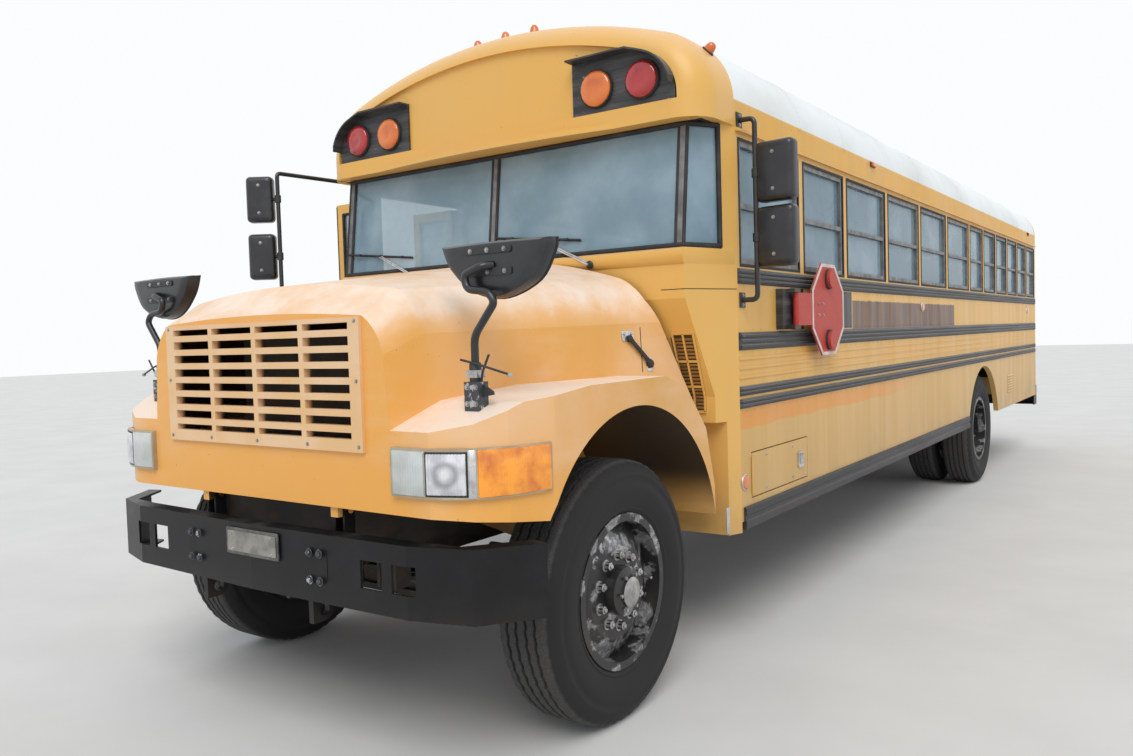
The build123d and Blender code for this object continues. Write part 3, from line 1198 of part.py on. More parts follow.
def rear_door():
    half = REAR_DOOR_W / 2
    y0, y1 = BODY_REAR_Y - 40.0, BODY_REAR_Y + 6.0
    door = box(-half, half, y0, y1, REAR_DOOR_BOTTOM, REAR_DOOR_TOP)
    panes = []
    frame = 70.0
    for z0, z1 in ((1300.0, 1740.0), (WINDOW_BOTTOM, REAR_DOOR_TOP - 80.0)):
        door -= box(-half + frame, half - frame, y0 - 1, y1 + 1, z0, z1)
        panes.append(box(-half + frame + FIT, half - frame - FIT, y1 - 20.0, y1 - 20.0 + GLASS_T,
                         z0 + FIT, z1 - FIT))
    pin_x, pin_y = -half - DOOR_GAP, BODY_REAR_Y + 9.0 + FIT
    for z in (1250.0, 1800.0, 2350.0):
        door += rod((pin_x, pin_y, z - 45.0), (pin_x, pin_y, z + 45.0), 9.0)
        door += box(pin_x, -half + 60.0, y1 - 1.0, pin_y + 5.0, z - 30.0, z + 30.0)
    handle = box(half - 60.0, half - 30.0, y1 - 1.0, y1 + 46.0, 1500.0, 1530.0)
    handle += box(half - 60.0, half - 30.0, y1 + 30.0, y1 + 46.0, 1500.0, 1660.0)
    return door + handle, group(panes)


def hatch():
    """Compartment door on a hinge pin along its front edge."""
    gap, pin_r = DOOR_GAP, 6.0
    x0, x1 = HALF_WIDTH - HATCH_T, HALF_WIDTH
    edge = at(HATCH_FRONT)
    door = box(x0, x1, edge + gap, at(HATCH_REAR) - gap, HATCH_BOTTOM + gap, HATCH_TOP - gap)
    pin_x = x1 + pin_r + FIT
    door += rod((pin_x, edge, HATCH_BOTTOM + 20.0), (pin_x, edge, HATCH_TOP - 20.0), pin_r)
    door += box(x1 - 1.0, x1 + 4.0, edge + gap, edge + 34.0, HATCH_BOTTOM + 20.0, HATCH_TOP - 20.0)
    door += box(x1 + 1.0, pin_x, edge + 1.0, edge + gap + 1.0, HATCH_BOTTOM + 20.0, HATCH_TOP - 20.0)
    door += box(x1 - 1.0, x1 + 10.0, at(HATCH_REAR) - 130.0, at(HATCH_REAR) - 105.0, 830.0, 880.0)
    return door


def stop_arm():
    """Octagon blade with a lamp above and below, on its hinge arm."""
    plane = Plane(origin=(STOP_X - STOP_T / 2, at(STOP_Y), STOP_Z), x_dir=(0, 1, 0), z_dir=(1, 0, 0))
    corner = STOP_ACROSS / 2 / cos(radians(22.5))
    blade = extrude(plane * Rot(0, 0, 22.5) * RegularPolygon(corner, 8), amount=STOP_T)
    lamps = [rod((STOP_X - 32.0, at(STOP_Y), z), (STOP_X + 32.0, at(STOP_Y), z), 52.0)
             for z in (STOP_Z + 168.0, STOP_Z - 168.0)]
    edge = STOP_Y - STOP_ACROSS / 2
    arm = box(STOP_X - STOP_T / 2, STOP_X + STOP_T / 2, at(STOP_HINGE_Y), at(edge + 40.0),
              STOP_Z - STOP_BARREL, STOP_Z + STOP_BARREL)
    barrel = rod((STOP_X, at(STOP_HINGE_Y), STOP_Z - STOP_BARREL),
                 (STOP_X, at(STOP_HINGE_Y), STOP_Z + STOP_BARREL), 16.0)
    return fuse([blade, arm, barrel] + lamps)


def stop_bracket():
    """Drive box of the stop arm on the body side, with the two ears that hold its pin."""
    ear_t = 18.0
    y1 = at(STOP_HINGE_Y + 20.0)
    pieces = [box(HALF_WIDTH, STOP_X - 26.0, at(STOP_HINGE_Y - 110.0), y1, STOP_Z - 84.0 - ear_t,
                  STOP_Z + 84.0 + ear_t)]
    for z in (STOP_Z - STOP_BARREL - FIT - ear_t, STOP_Z + STOP_BARREL + FIT):
        pieces.append(box(HALF_WIDTH, STOP_X + 18.0, at(STOP_HINGE_Y - 60.0), y1, z, z + ear_t))
    return fuse(pieces)


def build():
    parts["frame_rails"] = frame_rails()
    parts["leaf_springs"] = leaf_springs()
    parts["front_axle"] = front_axle()
    parts["rear_axle"] = rear_axle()
    parts["drive_shaft"] = drive_shaft()
    parts["exhaust"] = exhaust()
    parts["engine_block"] = engine_block()
    parts["fuel_tank"] = fuel_tank()
    for side, name in ((1, "left"), (-1, "right")):
        parts["front_tyre_" + name] = front_tyre(side)
        parts["front_wheel_" + name] = front_wheel(side)
        parts["rear_tyres_" + name] = rear_tyres(side)
        parts["rear_wheel_" + name] = rear_wheel(side)
        parts["knuckle_" + name] = knuckle(side)
        parts["side_" + name] = side_panel(side)
    parts["floor"] = floor()
    parts["rub_rails"] = rub_rails()
    parts["roof"] = roof()
    parts["front_cap"] = front_cap()
    parts["lamp_pods"] = lamp_pods()
    parts["signal_lamps"] = signal_lamps()
    parts["cowl"] = cowl()
    parts["rear_wall"] = rear_wall()
    parts["window_sashes"] = window_sashes()
    parts["body_glass"] = body_glass()
    parts["front_bumper"] = front_bumper()
    parts["rear_bumper"] = rear_bumper()
    parts["mirrors"] = mirrors()
    parts["dash"] = dash()
    parts["seats"] = seats()
    parts["hood"] = hood()
    parts["grille"] = grille()
    parts["headlamps"] = headlamps()
    parts["crossview_mirrors"] = crossview_mirrors()
    for front, name in ((True, "front"), (False, "rear")):
        parts["entry_leaf_" + name], parts["entry_glass_" + name] = entry_leaf(front)
    parts["rear_door"], parts["rear_door_glass"] = rear_door()
    parts["hatch"] = hatch()
    parts["stop_arm"] = stop_arm()
    parts["stop_bracket"] = stop_bracket()


build()
os.makedirs("parts", exist_ok=True)
for name, shape in parts.items():
    export_step(shape, "parts/" + name + ".step")
    size = shape.bounding_box().size
    print(name, len(shape.solids()), [round(v) for v in (size.X, size.Y, size.Z)])
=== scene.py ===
"""Looks of a conventional school bus: finishes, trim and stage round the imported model.

Metres in the row frame: the bus faces -Y, +X is its left side, +Z is up.
"""

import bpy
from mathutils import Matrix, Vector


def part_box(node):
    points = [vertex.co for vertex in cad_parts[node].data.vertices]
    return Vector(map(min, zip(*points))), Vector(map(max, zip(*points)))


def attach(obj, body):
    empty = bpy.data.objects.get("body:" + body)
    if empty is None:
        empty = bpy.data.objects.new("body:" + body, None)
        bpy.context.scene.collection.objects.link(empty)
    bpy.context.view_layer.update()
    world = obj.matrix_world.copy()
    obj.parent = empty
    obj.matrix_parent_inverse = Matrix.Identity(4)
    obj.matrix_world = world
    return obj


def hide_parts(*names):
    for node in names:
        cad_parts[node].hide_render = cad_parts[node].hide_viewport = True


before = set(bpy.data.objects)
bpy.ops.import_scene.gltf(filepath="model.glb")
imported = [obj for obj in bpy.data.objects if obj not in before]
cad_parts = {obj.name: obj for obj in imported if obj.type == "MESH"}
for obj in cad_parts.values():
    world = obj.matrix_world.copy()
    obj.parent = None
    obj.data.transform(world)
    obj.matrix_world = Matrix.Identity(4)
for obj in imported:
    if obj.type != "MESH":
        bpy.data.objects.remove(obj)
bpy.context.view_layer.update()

from math import atan2, cos, pi, radians, sin, sqrt, tau

import bmesh
import bpy
from mathutils import Matrix, Vector

bl_info = {
    "name": "School Bus Looks",
    "version": (1, 0, 0),
    "blender": (4, 5, 0),
    "location": "View3D > Sidebar > School Bus",
    "description": "Dresses the packed school bus with finishes, trim, lamps, seats and a stage",
    "category": "Object",
}


# Places taken from the imported model, and sizes given here

def middle(node):
    low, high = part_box(node)
    return (low + high) / 2


FRONT_AXLE = middle("front_tyre_left")
REAR_AXLE = middle("rear_tyres_left")
SIDE_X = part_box("side_left")[1].x - 0.005
BODY_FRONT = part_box("side_left")[0].y
SHELL_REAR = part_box("side_left")[1].y
BODY_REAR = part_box("rear_wall")[1].y
ROOF_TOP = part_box("roof")[1].z
HOOD_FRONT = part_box("hood")[0].y
SHOULDER_Z = 2.600
SHOULDER_R = 0.330
BAYS = [0.815, 0.712] + [0.850] * 4 + [0.610] * 6
PILLAR = 0.085
WINDOW_Z = (1.860, 2.430)
SCREEN_FOOT = (0.572, 1.925)
SCREEN_HEAD = (0.638, 2.490)
SCREEN_HALF = 1.085
CORNER = (1.188, 0.780)
RAIL_BANDS = [(1.765, 1.838), (1.455, 1.540), (1.181, 1.228), (1.240, 1.287)]
RAIL_DEPTH = 0.014
POD_FACE = 0.550
WARNING_LAMPS = [(0.685, 2.685, "amber_lens"), (0.930, 2.685, "red_lens")]
WARNING_R = 0.088
LAMP_LINE = [(0.735, -0.883), (0.855, -0.883), (0.880, -0.8818), (0.904, -0.8782), (0.928, -0.8721),
             (0.951, -0.8636), (1.004, -0.8414), (1.026, -0.8303), (1.0455, -0.8165), (1.063, -0.7999),
             (1.078, -0.7805), (1.096, -0.7535), (1.109, -0.7323), (1.121, -0.7104), (1.130, -0.6877),
             (1.138, -0.6641), (1.174, -0.545)]
LAMP_Z = (1.018, 1.188)
STOP_MID = (1.283, 1.900, 1.650)


def at(y):
    """Row Y of a place measured rearwards from the front axle."""
    return y + FRONT_AXLE.y


# Shader graphs

class Wire:
    """One output of a shader graph. Arithmetic on it adds Math nodes."""

    def __init__(self, graph, socket):
        self.graph = graph
        self.socket = socket

    def calc(self, operation, first, second):
        return self.graph.add("Math", {"operation": operation}, {0: first, 1: second})

    def __add__(self, other):
        return self.calc("ADD", self, other)

    def __sub__(self, other):
        return self.calc("SUBTRACT", self, other)

    def __rsub__(self, other):
        return self.calc("SUBTRACT", other, self)

    def __mul__(self, other):
        return self.calc("MULTIPLY", self, other)

    def __pow__(self, other):
        return self.calc("POWER", self, other)

    def __abs__(self):
        return self.calc("ABSOLUTE", self, 0.0)

    __radd__ = __add__
    __rmul__ = __mul__

    def top(self, other):
        return self.calc("MAXIMUM", self, other)

    def least(self, other):
        return self.calc("MINIMUM", self, other)

    def fade(self, low, high):
        """0 below low, 1 above high, smooth between."""
        return self.graph.add("MapRange", {"interpolation_type": "SMOOTHSTEP"},
                              {0: self, 1: low, 2: high, 3: 0.0, 4: 1.0})

    def within(self, low, high, soft=0.004):
        """1 between low and high, with soft edges."""
        return self.fade(low - soft, low + soft) * (1 - self.fade(high - soft, high + soft))


class Graph:
    """Node graph of one material or world."""

    def __init__(self, owner):
        owner.use_nodes = True
        self.tree = owner.node_tree
        self.tree.nodes.clear()

    def locate(self):
        """Adds the place wires that a surface graph works from."""
        self.place = self.add("TexCoord", output="Object")
        self.x, self.y, self.z = self.split(self.place)
        return self

    def add(self, kind, settings=None, inputs=None, output=0):
        """Adds a node by type, sets it up, feeds its sockets and returns one output."""
        node = self.tree.nodes.new("ShaderNode" + kind)
        for key, value in (settings or {}).items():
            setattr(node, key, value)
        for key, value in (inputs or {}).items():
            if isinstance(value, Wire):
                self.tree.links.new(value.socket, node.inputs[key])
            else:
                node.inputs[key].default_value = value
        return Wire(self, node.outputs[output]) if node.outputs else None

    def split(self, vector):
        first = self.add("SeparateXYZ", inputs={0: vector})
        return [Wire(self, first.socket.node.outputs[i]) for i in range(3)]

    def facing(self):
        """The surface direction in the piece's own frame, as three wires."""
        return self.split(self.add("TexCoord", output="Normal"))

    def noise(self, scale, detail=4.0, rough=0.55, stretch=(1.0, 1.0, 1.0)):
        spot = self.add("VectorMath", {"operation": "MULTIPLY"}, {0: self.place, 1: stretch})
        return self.add("TexNoise", {"noise_dimensions": "3D"},
                        {"Vector": spot, "Scale": scale, "Detail": detail, "Roughness": rough})

    def cells(self, scale):
        return self.add("TexVoronoi", {"feature": "F1"}, {"Vector": self.place, "Scale": scale})

    def mix(self, factor, first, second):
        return self.add("Mix", {"data_type": "RGBA"}, {0: factor, 6: colour(first), 7: colour(second)}, 2)

    def bump(self, height, strength, distance):
        return self.add("Bump", inputs={"Height": height, "Strength": strength, "Distance": distance})

    def grain(self, scale, detail, strength, distance):
        return self.bump(self.noise(scale, detail), strength, distance)

    def pores(self, scale, strength, distance):
        return self.bump(self.cells(scale), strength, distance)

    def ribs(self, axis, scale, strength, distance):
        wave = self.add("TexWave", {"wave_type": "BANDS", "bands_direction": axis},
                        {"Vector": self.place, "Scale": scale, "Distortion": 0.0})
        return self.bump(wave, strength, distance)

    def peel(self, strength=0.12):
        """The orange peel of sprayed paint."""
        return self.bump(self.noise(260.0, 2.0) + 0.8 * self.noise(9.0, 3.0), strength, 0.0015)

    def surface(self, base, rough, metal=0.0, normal=None, **sockets):
        """Closes the graph with one Principled surface."""
        inputs = {"Base Color": colour(base), "Roughness": rough, "Metallic": metal}
        inputs.update({name.replace("_", " "): value for name, value in sockets.items()})
        if normal is not None:
            inputs["Normal"] = normal
        shader = self.add("BsdfPrincipled", inputs=inputs)
        self.add("OutputMaterial", inputs={"Surface": shader})


def colour(value):
    if isinstance(value, Wire):
        return value
    return tuple(value) + (1.0,) if len(value) == 3 else tuple(value)


def finish(name):
    """The material of that name, made the first time it is asked for."""
    material = bpy.data.materials.get("bus_" + name)
    if material is None:
        material = bpy.data.materials.new("bus_" + name)
        FINISHES[name](Graph(material).locate(), bpy.context.scene.bus_colours)
    return material


# Finishes

def road_dirt(g, base, low=0.55, high=1.25, tint=(0.20, 0.155, 0.11), most=0.55):
    """Dust that thickens towards the ground and lies in blotches."""
    height = 1 - g.z.fade(low, high)
    blotch = g.noise(3.5, 6.0, 0.65).fade(0.35, 0.75)
    return g.mix(height * (0.35 + 0.65 * blotch) * most, base, tint)


def side_paint(g, tints):
    """Body yellow: chalky, streaked, tan below the floor rails, with repainted patches."""
    streak = g.noise(1.0, 5.0, 0.6, (7.0, 7.0, 0.55)).fade(0.35, 0.72)
    cloud = g.noise(0.9, 3.0).fade(0.3, 0.7)
    base = g.mix(cloud * 0.55, tints.yellow, tints.chalk)
    base = g.mix(streak * 0.20, base, tints.tan)
    skirt = 1 - g.z.fade(1.165, 1.195)
    base = g.mix(skirt * (0.42 + 0.18 * streak), base, tints.tan)
    # bright strip under the floor rails, where newer paint shows
    edge = g.noise(2.2, 4.0) * 0.09
    strip = (g.z + edge).within(1.135, 1.225, 0.006) * skirt * (1 - g.y.fade(at(2.6), at(4.4)))
    base = g.mix(strip * 0.8, base, (0.80, 0.31, 0.045))
    left = g.x.fade(0.5, 0.6)
    ragged = g.noise(14.0, 5.0) * 0.02
    bare = (g.z + ragged).within(1.548, 1.722, 0.004) * (g.y + ragged).within(at(2.52), at(5.2), 0.008) * left
    rust = g.noise(1.0, 5.0, 0.6, (9.0, 9.0, 1.2)).fade(0.3, 0.7)
    rust = g.mix(rust, (0.21, 0.095, 0.042), (0.085, 0.048, 0.03))
    base = g.mix(bare, base, rust)
    tape = g.z.within(1.545, 1.762, 0.002) * (g.y.within(at(1.52), at(1.70), 0.002)
                                              + g.y.within(at(2.18), at(2.50), 0.002)) * left
    base = g.mix(tape.least(1.0), base, (0.022, 0.022, 0.024))
    drips = g.noise(1.0, 6.0, 0.7, (16.0, 16.0, 0.4)).fade(0.62, 0.8) * (1 - g.z.fade(1.5, 2.4)) * 0.22
    base = g.mix(drips, base, (0.22, 0.13, 0.07))
    base = road_dirt(g, base, 0.6, 1.1, most=0.35)
    rough = 0.42 + 0.25 * streak
    g.surface(base, rough, 0.0, g.peel(), Coat_Weight=0.25, Coat_Roughness=0.3)


def cap_paint(g, tints):
    """Front cap and cowl: yellow, a little chalked on what faces the sky."""
    up = g.facing()[2].fade(0.15, 0.9)
    cloud = g.noise(1.6, 4.0).fade(0.3, 0.72)
    base = g.mix(cloud * 0.4, tints.yellow, tints.chalk)
    base = g.mix(up * (0.35 + 0.4 * cloud), base, tints.faded)
    streak = g.noise(1.0, 5.0, 0.6, (11.0, 11.0, 0.7)).fade(0.5, 0.8)
    base = g.mix(streak * 0.2, base, tints.tan)
    chips = g.noise(55.0, 3.0, 0.7).fade(0.71, 0.73) * g.noise(4.0).fade(0.5, 0.65)
    base = g.mix(chips, base, (0.16, 0.09, 0.05))
    base = road_dirt(g, base, 0.6, 1.05, most=0.4)
    g.surface(base, 0.4 + 0.2 * cloud, 0.0, g.peel(), Coat_Weight=0.3, Coat_Roughness=0.25)


def hood_paint(g, tints):
    """Sun-faded hood: deep yellow sides darkened by painted shade, peach fade, painted near-white highlight where it
    faces the sky.
    """
    face = g.facing()
    up = face[2]
    patch = g.noise(1.5, 5.0, 0.6).fade(0.3, 0.7)
    fine = g.noise(7.0, 6.0, 0.6).fade(0.3, 0.75)
    sky = up.fade(-0.05, 0.75)
    front = 1 - g.y.fade(at(-0.7), at(0.35))
    fender = abs(g.x).fade(0.72, 0.95)
    low = 1 - g.z.fade(0.98, 1.14)
    amount = sky * 0.62 + front * 0.18 + fender * 0.36 + patch * 0.45 - 0.28 - low * 0.25
    amount = amount.fade(0.0, 0.95)
    # painted shade: faces that do not turn to the sky are darkened to a deeper yellow
    deep = g.mix((1 - sky) * (1 - front) * 0.75, (0.86, 0.405, 0.07), (0.66, 0.33, 0.045))
    base = g.mix(amount, deep, tints.faded)
    # painted highlight: faces turned to the sky, most of all on the fenders, go near white
    pale = (sky * (0.9 + 0.25 * fender) + fine * 0.4 + patch * 0.3 - 0.75).fade(0.0, 0.8)
    base = g.mix(pale * 0.92, base, (0.95, 0.80, 0.68))
    wash = g.noise(1.0, 5.0, 0.6, (2.0, 2.0, 9.0)).fade(0.45, 0.75)
    base = g.mix(wash * 0.18, base, (0.93, 0.66, 0.45))
    chips = g.noise(48.0, 4.0, 0.7).fade(0.70, 0.72) * front
    base = g.mix(chips * 0.8, base, (0.25, 0.13, 0.07))
    base = road_dirt(g, base, 0.55, 0.95, most=0.30)
    # painted shade: faces turned inwards or downwards go near black
    painted_shade_inner = (face[0] * g.x * -1.0).fade(0.12, 0.40).top((up * -1.0).fade(0.15, 0.50))
    base = g.mix(painted_shade_inner * 0.96, base, (0.030, 0.019, 0.011))
    g.surface(base, 0.38 + 0.28 * amount, 0.0, g.peel(0.1), Coat_Weight=0.2, Coat_Roughness=0.3)


def grille_plastic(g, tints):
    # painted highlight: upward faces are lighter
    up = g.facing()[2].fade(0.2, 0.8)
    cloud = g.noise(5.0, 4.0).fade(0.3, 0.7)
    base = g.mix(cloud * 0.6 + up * 0.3, (0.80, 0.50, 0.24), (0.86, 0.62, 0.42))
    # painted shade: surfaces set back behind the grille's front face go near black
    deep = g.y.fade(HOOD_FRONT + 0.006, HOOD_FRONT + 0.024)
    base = g.mix(deep * 0.9, base, (0.03, 0.022, 0.015))
    g.surface(base, 0.5, 0.0, g.peel(0.1))


def roof_paint(g, tints):
    """White roof over a yellow band, greyed along the seams."""
    cloud = g.noise(1.1, 5.0, 0.6, (2.2, 0.7, 1.0)).fade(0.35, 0.75)
    white = g.mix(cloud * 0.5, tints.roof, (0.62, 0.61, 0.58))
    soot = g.noise(1.0, 6.0, 0.7, (10.0, 1.2, 10.0)).fade(0.6, 0.85)
    white = g.mix(soot * 0.3, white, (0.36, 0.34, 0.31))
    streak = g.noise(1.0, 5.0, 0.6, (8.0, 8.0, 0.6)).fade(0.4, 0.75)
    yellow = g.mix(streak * 0.4, tints.yellow, tints.tan)
    edge = SHOULDER_Z + 0.012
    base = g.mix(g.z.fade(edge - 0.004, edge + 0.004), yellow, white)
    g.surface(base, 0.45 + 0.2 * cloud, 0.0, g.peel(0.15))


def rail_paint(g, tints):
    """Black rub rails gone grey, dusty on top of each ledge."""
    up = g.facing()[2].fade(0.2, 0.9)
    streak = g.noise(1.0, 6.0, 0.65, (3.0, 1.3, 30.0)).fade(0.35, 0.75)
    base = g.mix(streak * 0.55, tints.black, (0.16, 0.16, 0.17))
    base = g.mix(up * 0.5, base, (0.30, 0.28, 0.25))
    worn = g.noise(30.0, 4.0, 0.7).fade(0.66, 0.72)
    base = g.mix(worn * 0.6, base, (0.42, 0.42, 0.42))
    g.surface(base, 0.42 + 0.3 * streak, 0.0, g.grain(40.0, 3.0, 0.15, 0.001))


def bumper_paint(g, tints):
    """Semi-gloss black with dust on top and a bright metal band along the top edge, partly bare steel and partly
    painted highlight.
    """
    up = g.facing()[2]
    cloud = g.noise(6.0, 6.0, 0.65)
    base = g.mix(cloud.fade(0.4, 0.8) * 0.4, (0.006, 0.006, 0.007), (0.024, 0.025, 0.028))
    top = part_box("front_bumper")[1].z
    edge = g.z.fade(top - 0.022, top - 0.006)
    # bright band along the top edge: bare steel where the paint has worn through, and a painted highlight
    scraped_and_highlight = (edge * 0.5 + g.noise(9.0, 7.0, 0.7, (3.0, 3.0, 12.0)) - 0.47).fade(0.28, 0.42)
    dust = g.noise(5.0, 5.0).fade(0.45, 0.8) * up.fade(0.3, 0.9) * 0.4
    base = g.mix(dust, base, (0.16, 0.15, 0.13))
    base = g.mix(scraped_and_highlight, base, (0.62, 0.62, 0.64))
    base = road_dirt(g, base, 0.50, 0.75, most=0.12)
    g.surface(base, 0.32 + 0.3 * cloud, scraped_and_highlight * 0.6, g.grain(60.0, 3.0, 0.12, 0.001),
              Coat_Weight=0.12, Coat_Roughness=0.12, Specular_IOR_Level=0.25)


def chassis_steel(g, tints):
    """Black frame paint under dried mud and surface rust."""
    rust = g.noise(11.0, 7.0, 0.7).fade(0.52, 0.68)
    mud = g.noise(2.5, 5.0, 0.6).fade(0.3, 0.7)
    base = g.mix(mud * 0.6, (0.028, 0.026, 0.024), (0.13, 0.10, 0.075))
    base = g.mix(rust * 0.5, base, (0.14, 0.055, 0.022))
    g.surface(base, 0.75 + 0.15 * rust, 0.0, g.grain(45.0, 4.0, 0.3, 0.002))


def wheel_steel(g, tints):
    """Black wheel with the paint worn off in patches and dust in the corners."""
    blot = g.noise(7.5, 5.0, 0.6).fade(0.52, 0.57)
    fine = g.noise(45.0, 4.0, 0.7).fade(0.45, 0.62)
    worn = blot * (0.35 + 0.65 * fine)
    dust = g.noise(4.0, 6.0, 0.6).fade(0.4, 0.8)
    base = g.mix(dust * 0.5, (0.018, 0.018, 0.019), (0.085, 0.072, 0.058))
    base = g.mix(worn, base, (0.52, 0.52, 0.53))
    g.surface(base, 0.28 + 0.25 * dust, worn * 0.75, g.grain(70.0, 3.0, 0.2, 0.001))


def tyre_rubber(g, tints):
    """Dark sidewalls, a scuffed grey tread and dust in the grooves."""
    tread = g.noise(3.0, 3.0) * 0.004
    dust = g.noise(6.0, 7.0, 0.65).fade(0.35, 0.75)
    grit = g.noise(160.0, 3.0, 0.6).fade(0.45, 0.7)
    away = ((g.z - FRONT_AXLE.z) ** 2.0 + tread)
    front_y = abs(g.y - FRONT_AXLE.y)
    rear_y = abs(g.y - REAR_AXLE.y)
    radius = (away + front_y.least(rear_y) ** 2.0) ** 0.5
    worn = radius.fade(0.508, 0.520)
    base = g.mix(dust * 0.45, (0.006, 0.006, 0.007), (0.030, 0.028, 0.025))
    base = g.mix(worn * (0.45 + 0.4 * grit), base, (0.085, 0.082, 0.078))
    g.surface(base, 0.72 + 0.15 * dust, 0.0, g.grain(190.0, 3.0, 0.25, 0.001))


def black_plastic(g, tints):
    """Grained black plastic, sun-greyed on top."""
    up = g.facing()[2].fade(0.3, 0.9)
    cloud = g.noise(12.0, 4.0).fade(0.3, 0.8)
    base = g.mix(cloud * 0.4 + up * 0.2, (0.017, 0.018, 0.021), (0.075, 0.078, 0.085))
    g.surface(base, 0.42 + 0.2 * cloud, 0.0, g.pores(420.0, 0.2, 0.0006))


def turn_lens(g, tints):
    """Ribbed orange lens, darker in random patches as painted shade of the deep bowl behind it."""
    cloud = g.noise(11.0, 4.0).fade(0.35, 0.7)
    base = g.mix(cloud, (0.98, 0.36, 0.02), (0.66, 0.15, 0.006))
    glow = g.mix(cloud, (0.70, 0.20, 0.0), (0.20, 0.04, 0.0))
    g.surface(base, 0.10, 0.0, g.ribs("Y", 34.0, 0.4, 0.002), Coat_Weight=1.0, Coat_Roughness=0.04,
              Emission_Color=glow, Emission_Strength=0.15)


def head_lens(g, tints):
    """Fluted glass over a bright bowl, with the bowl's reflection painted in: a dark ring and a bright centre."""
    cloud = g.noise(16.0, 4.0).fade(0.35, 0.7)
    base = g.mix(cloud, (0.86, 0.87, 0.90), (0.55, 0.56, 0.60))
    # painted reflection: a dark ring round the lamp's centre and a painted highlight spot in it
    bowl = ((abs(g.x) - 0.968) ** 2.0 + (g.z - 1.103) ** 2.0) ** 0.5
    base = g.mix(bowl.within(0.026, 0.044, 0.010) * 0.75, base, (0.30, 0.31, 0.34))
    base = g.mix((1 - bowl.fade(0.008, 0.020)) * 0.8, base, (0.95, 0.95, 0.93))
    g.surface(base, 0.10 + 0.08 * cloud, 0.45, g.ribs("X", 30.0, 0.6, 0.003), Coat_Weight=1.0,
              Coat_Roughness=0.03)


def skirt_paint(g, tints):
    """Lower rail in worn black, with pale patches that are partly scuffs and partly a painted highlight."""
    streak = g.noise(1.0, 6.0, 0.65, (3.0, 1.3, 30.0)).fade(0.35, 0.75)
    base = g.mix(streak * 0.35, tints.black, (0.12, 0.12, 0.13))
    # pale patches: scuffs together with a painted highlight
    scuff_and_highlight = g.noise(24.0, 5.0, 0.7).fade(0.64, 0.72) * g.noise(1.3, 2.0).fade(0.45, 0.6)
    base = g.mix(scuff_and_highlight * 0.45, base, (0.36, 0.35, 0.33))
    base = road_dirt(g, base, 0.58, 0.72, most=0.18)
    g.surface(base, 0.42 + 0.3 * streak, 0.0, g.peel())


def floor_mat(g, tints):
    """Ribbed mat, dusty on top, with painted shade darkening its downward faces."""
    dust = g.noise(3.0, 6.0).fade(0.35, 0.75)
    base = g.mix(dust, (0.03, 0.03, 0.032), (0.13, 0.12, 0.105))
    # painted shade: faces turned down are darker
    under = 1 - g.facing()[2].fade(-0.5, 0.2)
    base = g.mix(under * 0.8, base, (0.06, 0.048, 0.04))
    g.surface(base, 0.72, 0.0, g.ribs("X", 18.0, 0.25, 0.002))


def sign_red(g, tints):
    """Sun-bleached red sheet."""
    cloud = g.noise(6.0, 6.0, 0.6).fade(0.3, 0.7)
    specks = g.noise(60.0, 4.0, 0.7).fade(0.6, 0.7)
    base = g.mix(cloud * 0.5, (0.46, 0.024, 0.014), (0.55, 0.105, 0.075))
    base = g.mix(specks * 0.25, base, (0.70, 0.38, 0.32))
    g.surface(base, 0.45 + 0.1 * cloud, 0.0, g.peel(0.1))


def plain(cloud, first, second, rough, metal=0.0, relief=None, fade=(0.3, 0.7), share=None, **sockets):
    """A finish from one noise mask that mixes two colours.

    A socket's pair of numbers is its value where the mask is 0, and what the mask adds to it.
    """
    def make(g, tints):
        mask = g.noise(*cloud).fade(*fade)

        def over(value):
            return value[0] + value[1] * mask if isinstance(value, tuple) else value

        base = g.mix(mask * share if share else mask, first, second)
        normal = getattr(g, relief[0])(*relief[1:]) if relief else None
        g.surface(base, over(rough), over(metal), normal,
                  **{name: over(value) for name, value in sockets.items()})
    return make


def signal_lens(tint, deep):
    return plain((9.0, 4.0), tint, deep, (0.12, 0.12), relief=("ribs", "X", 20.0, 0.3, 0.0012),
                 Coat_Weight=0.8, Coat_Roughness=0.08)


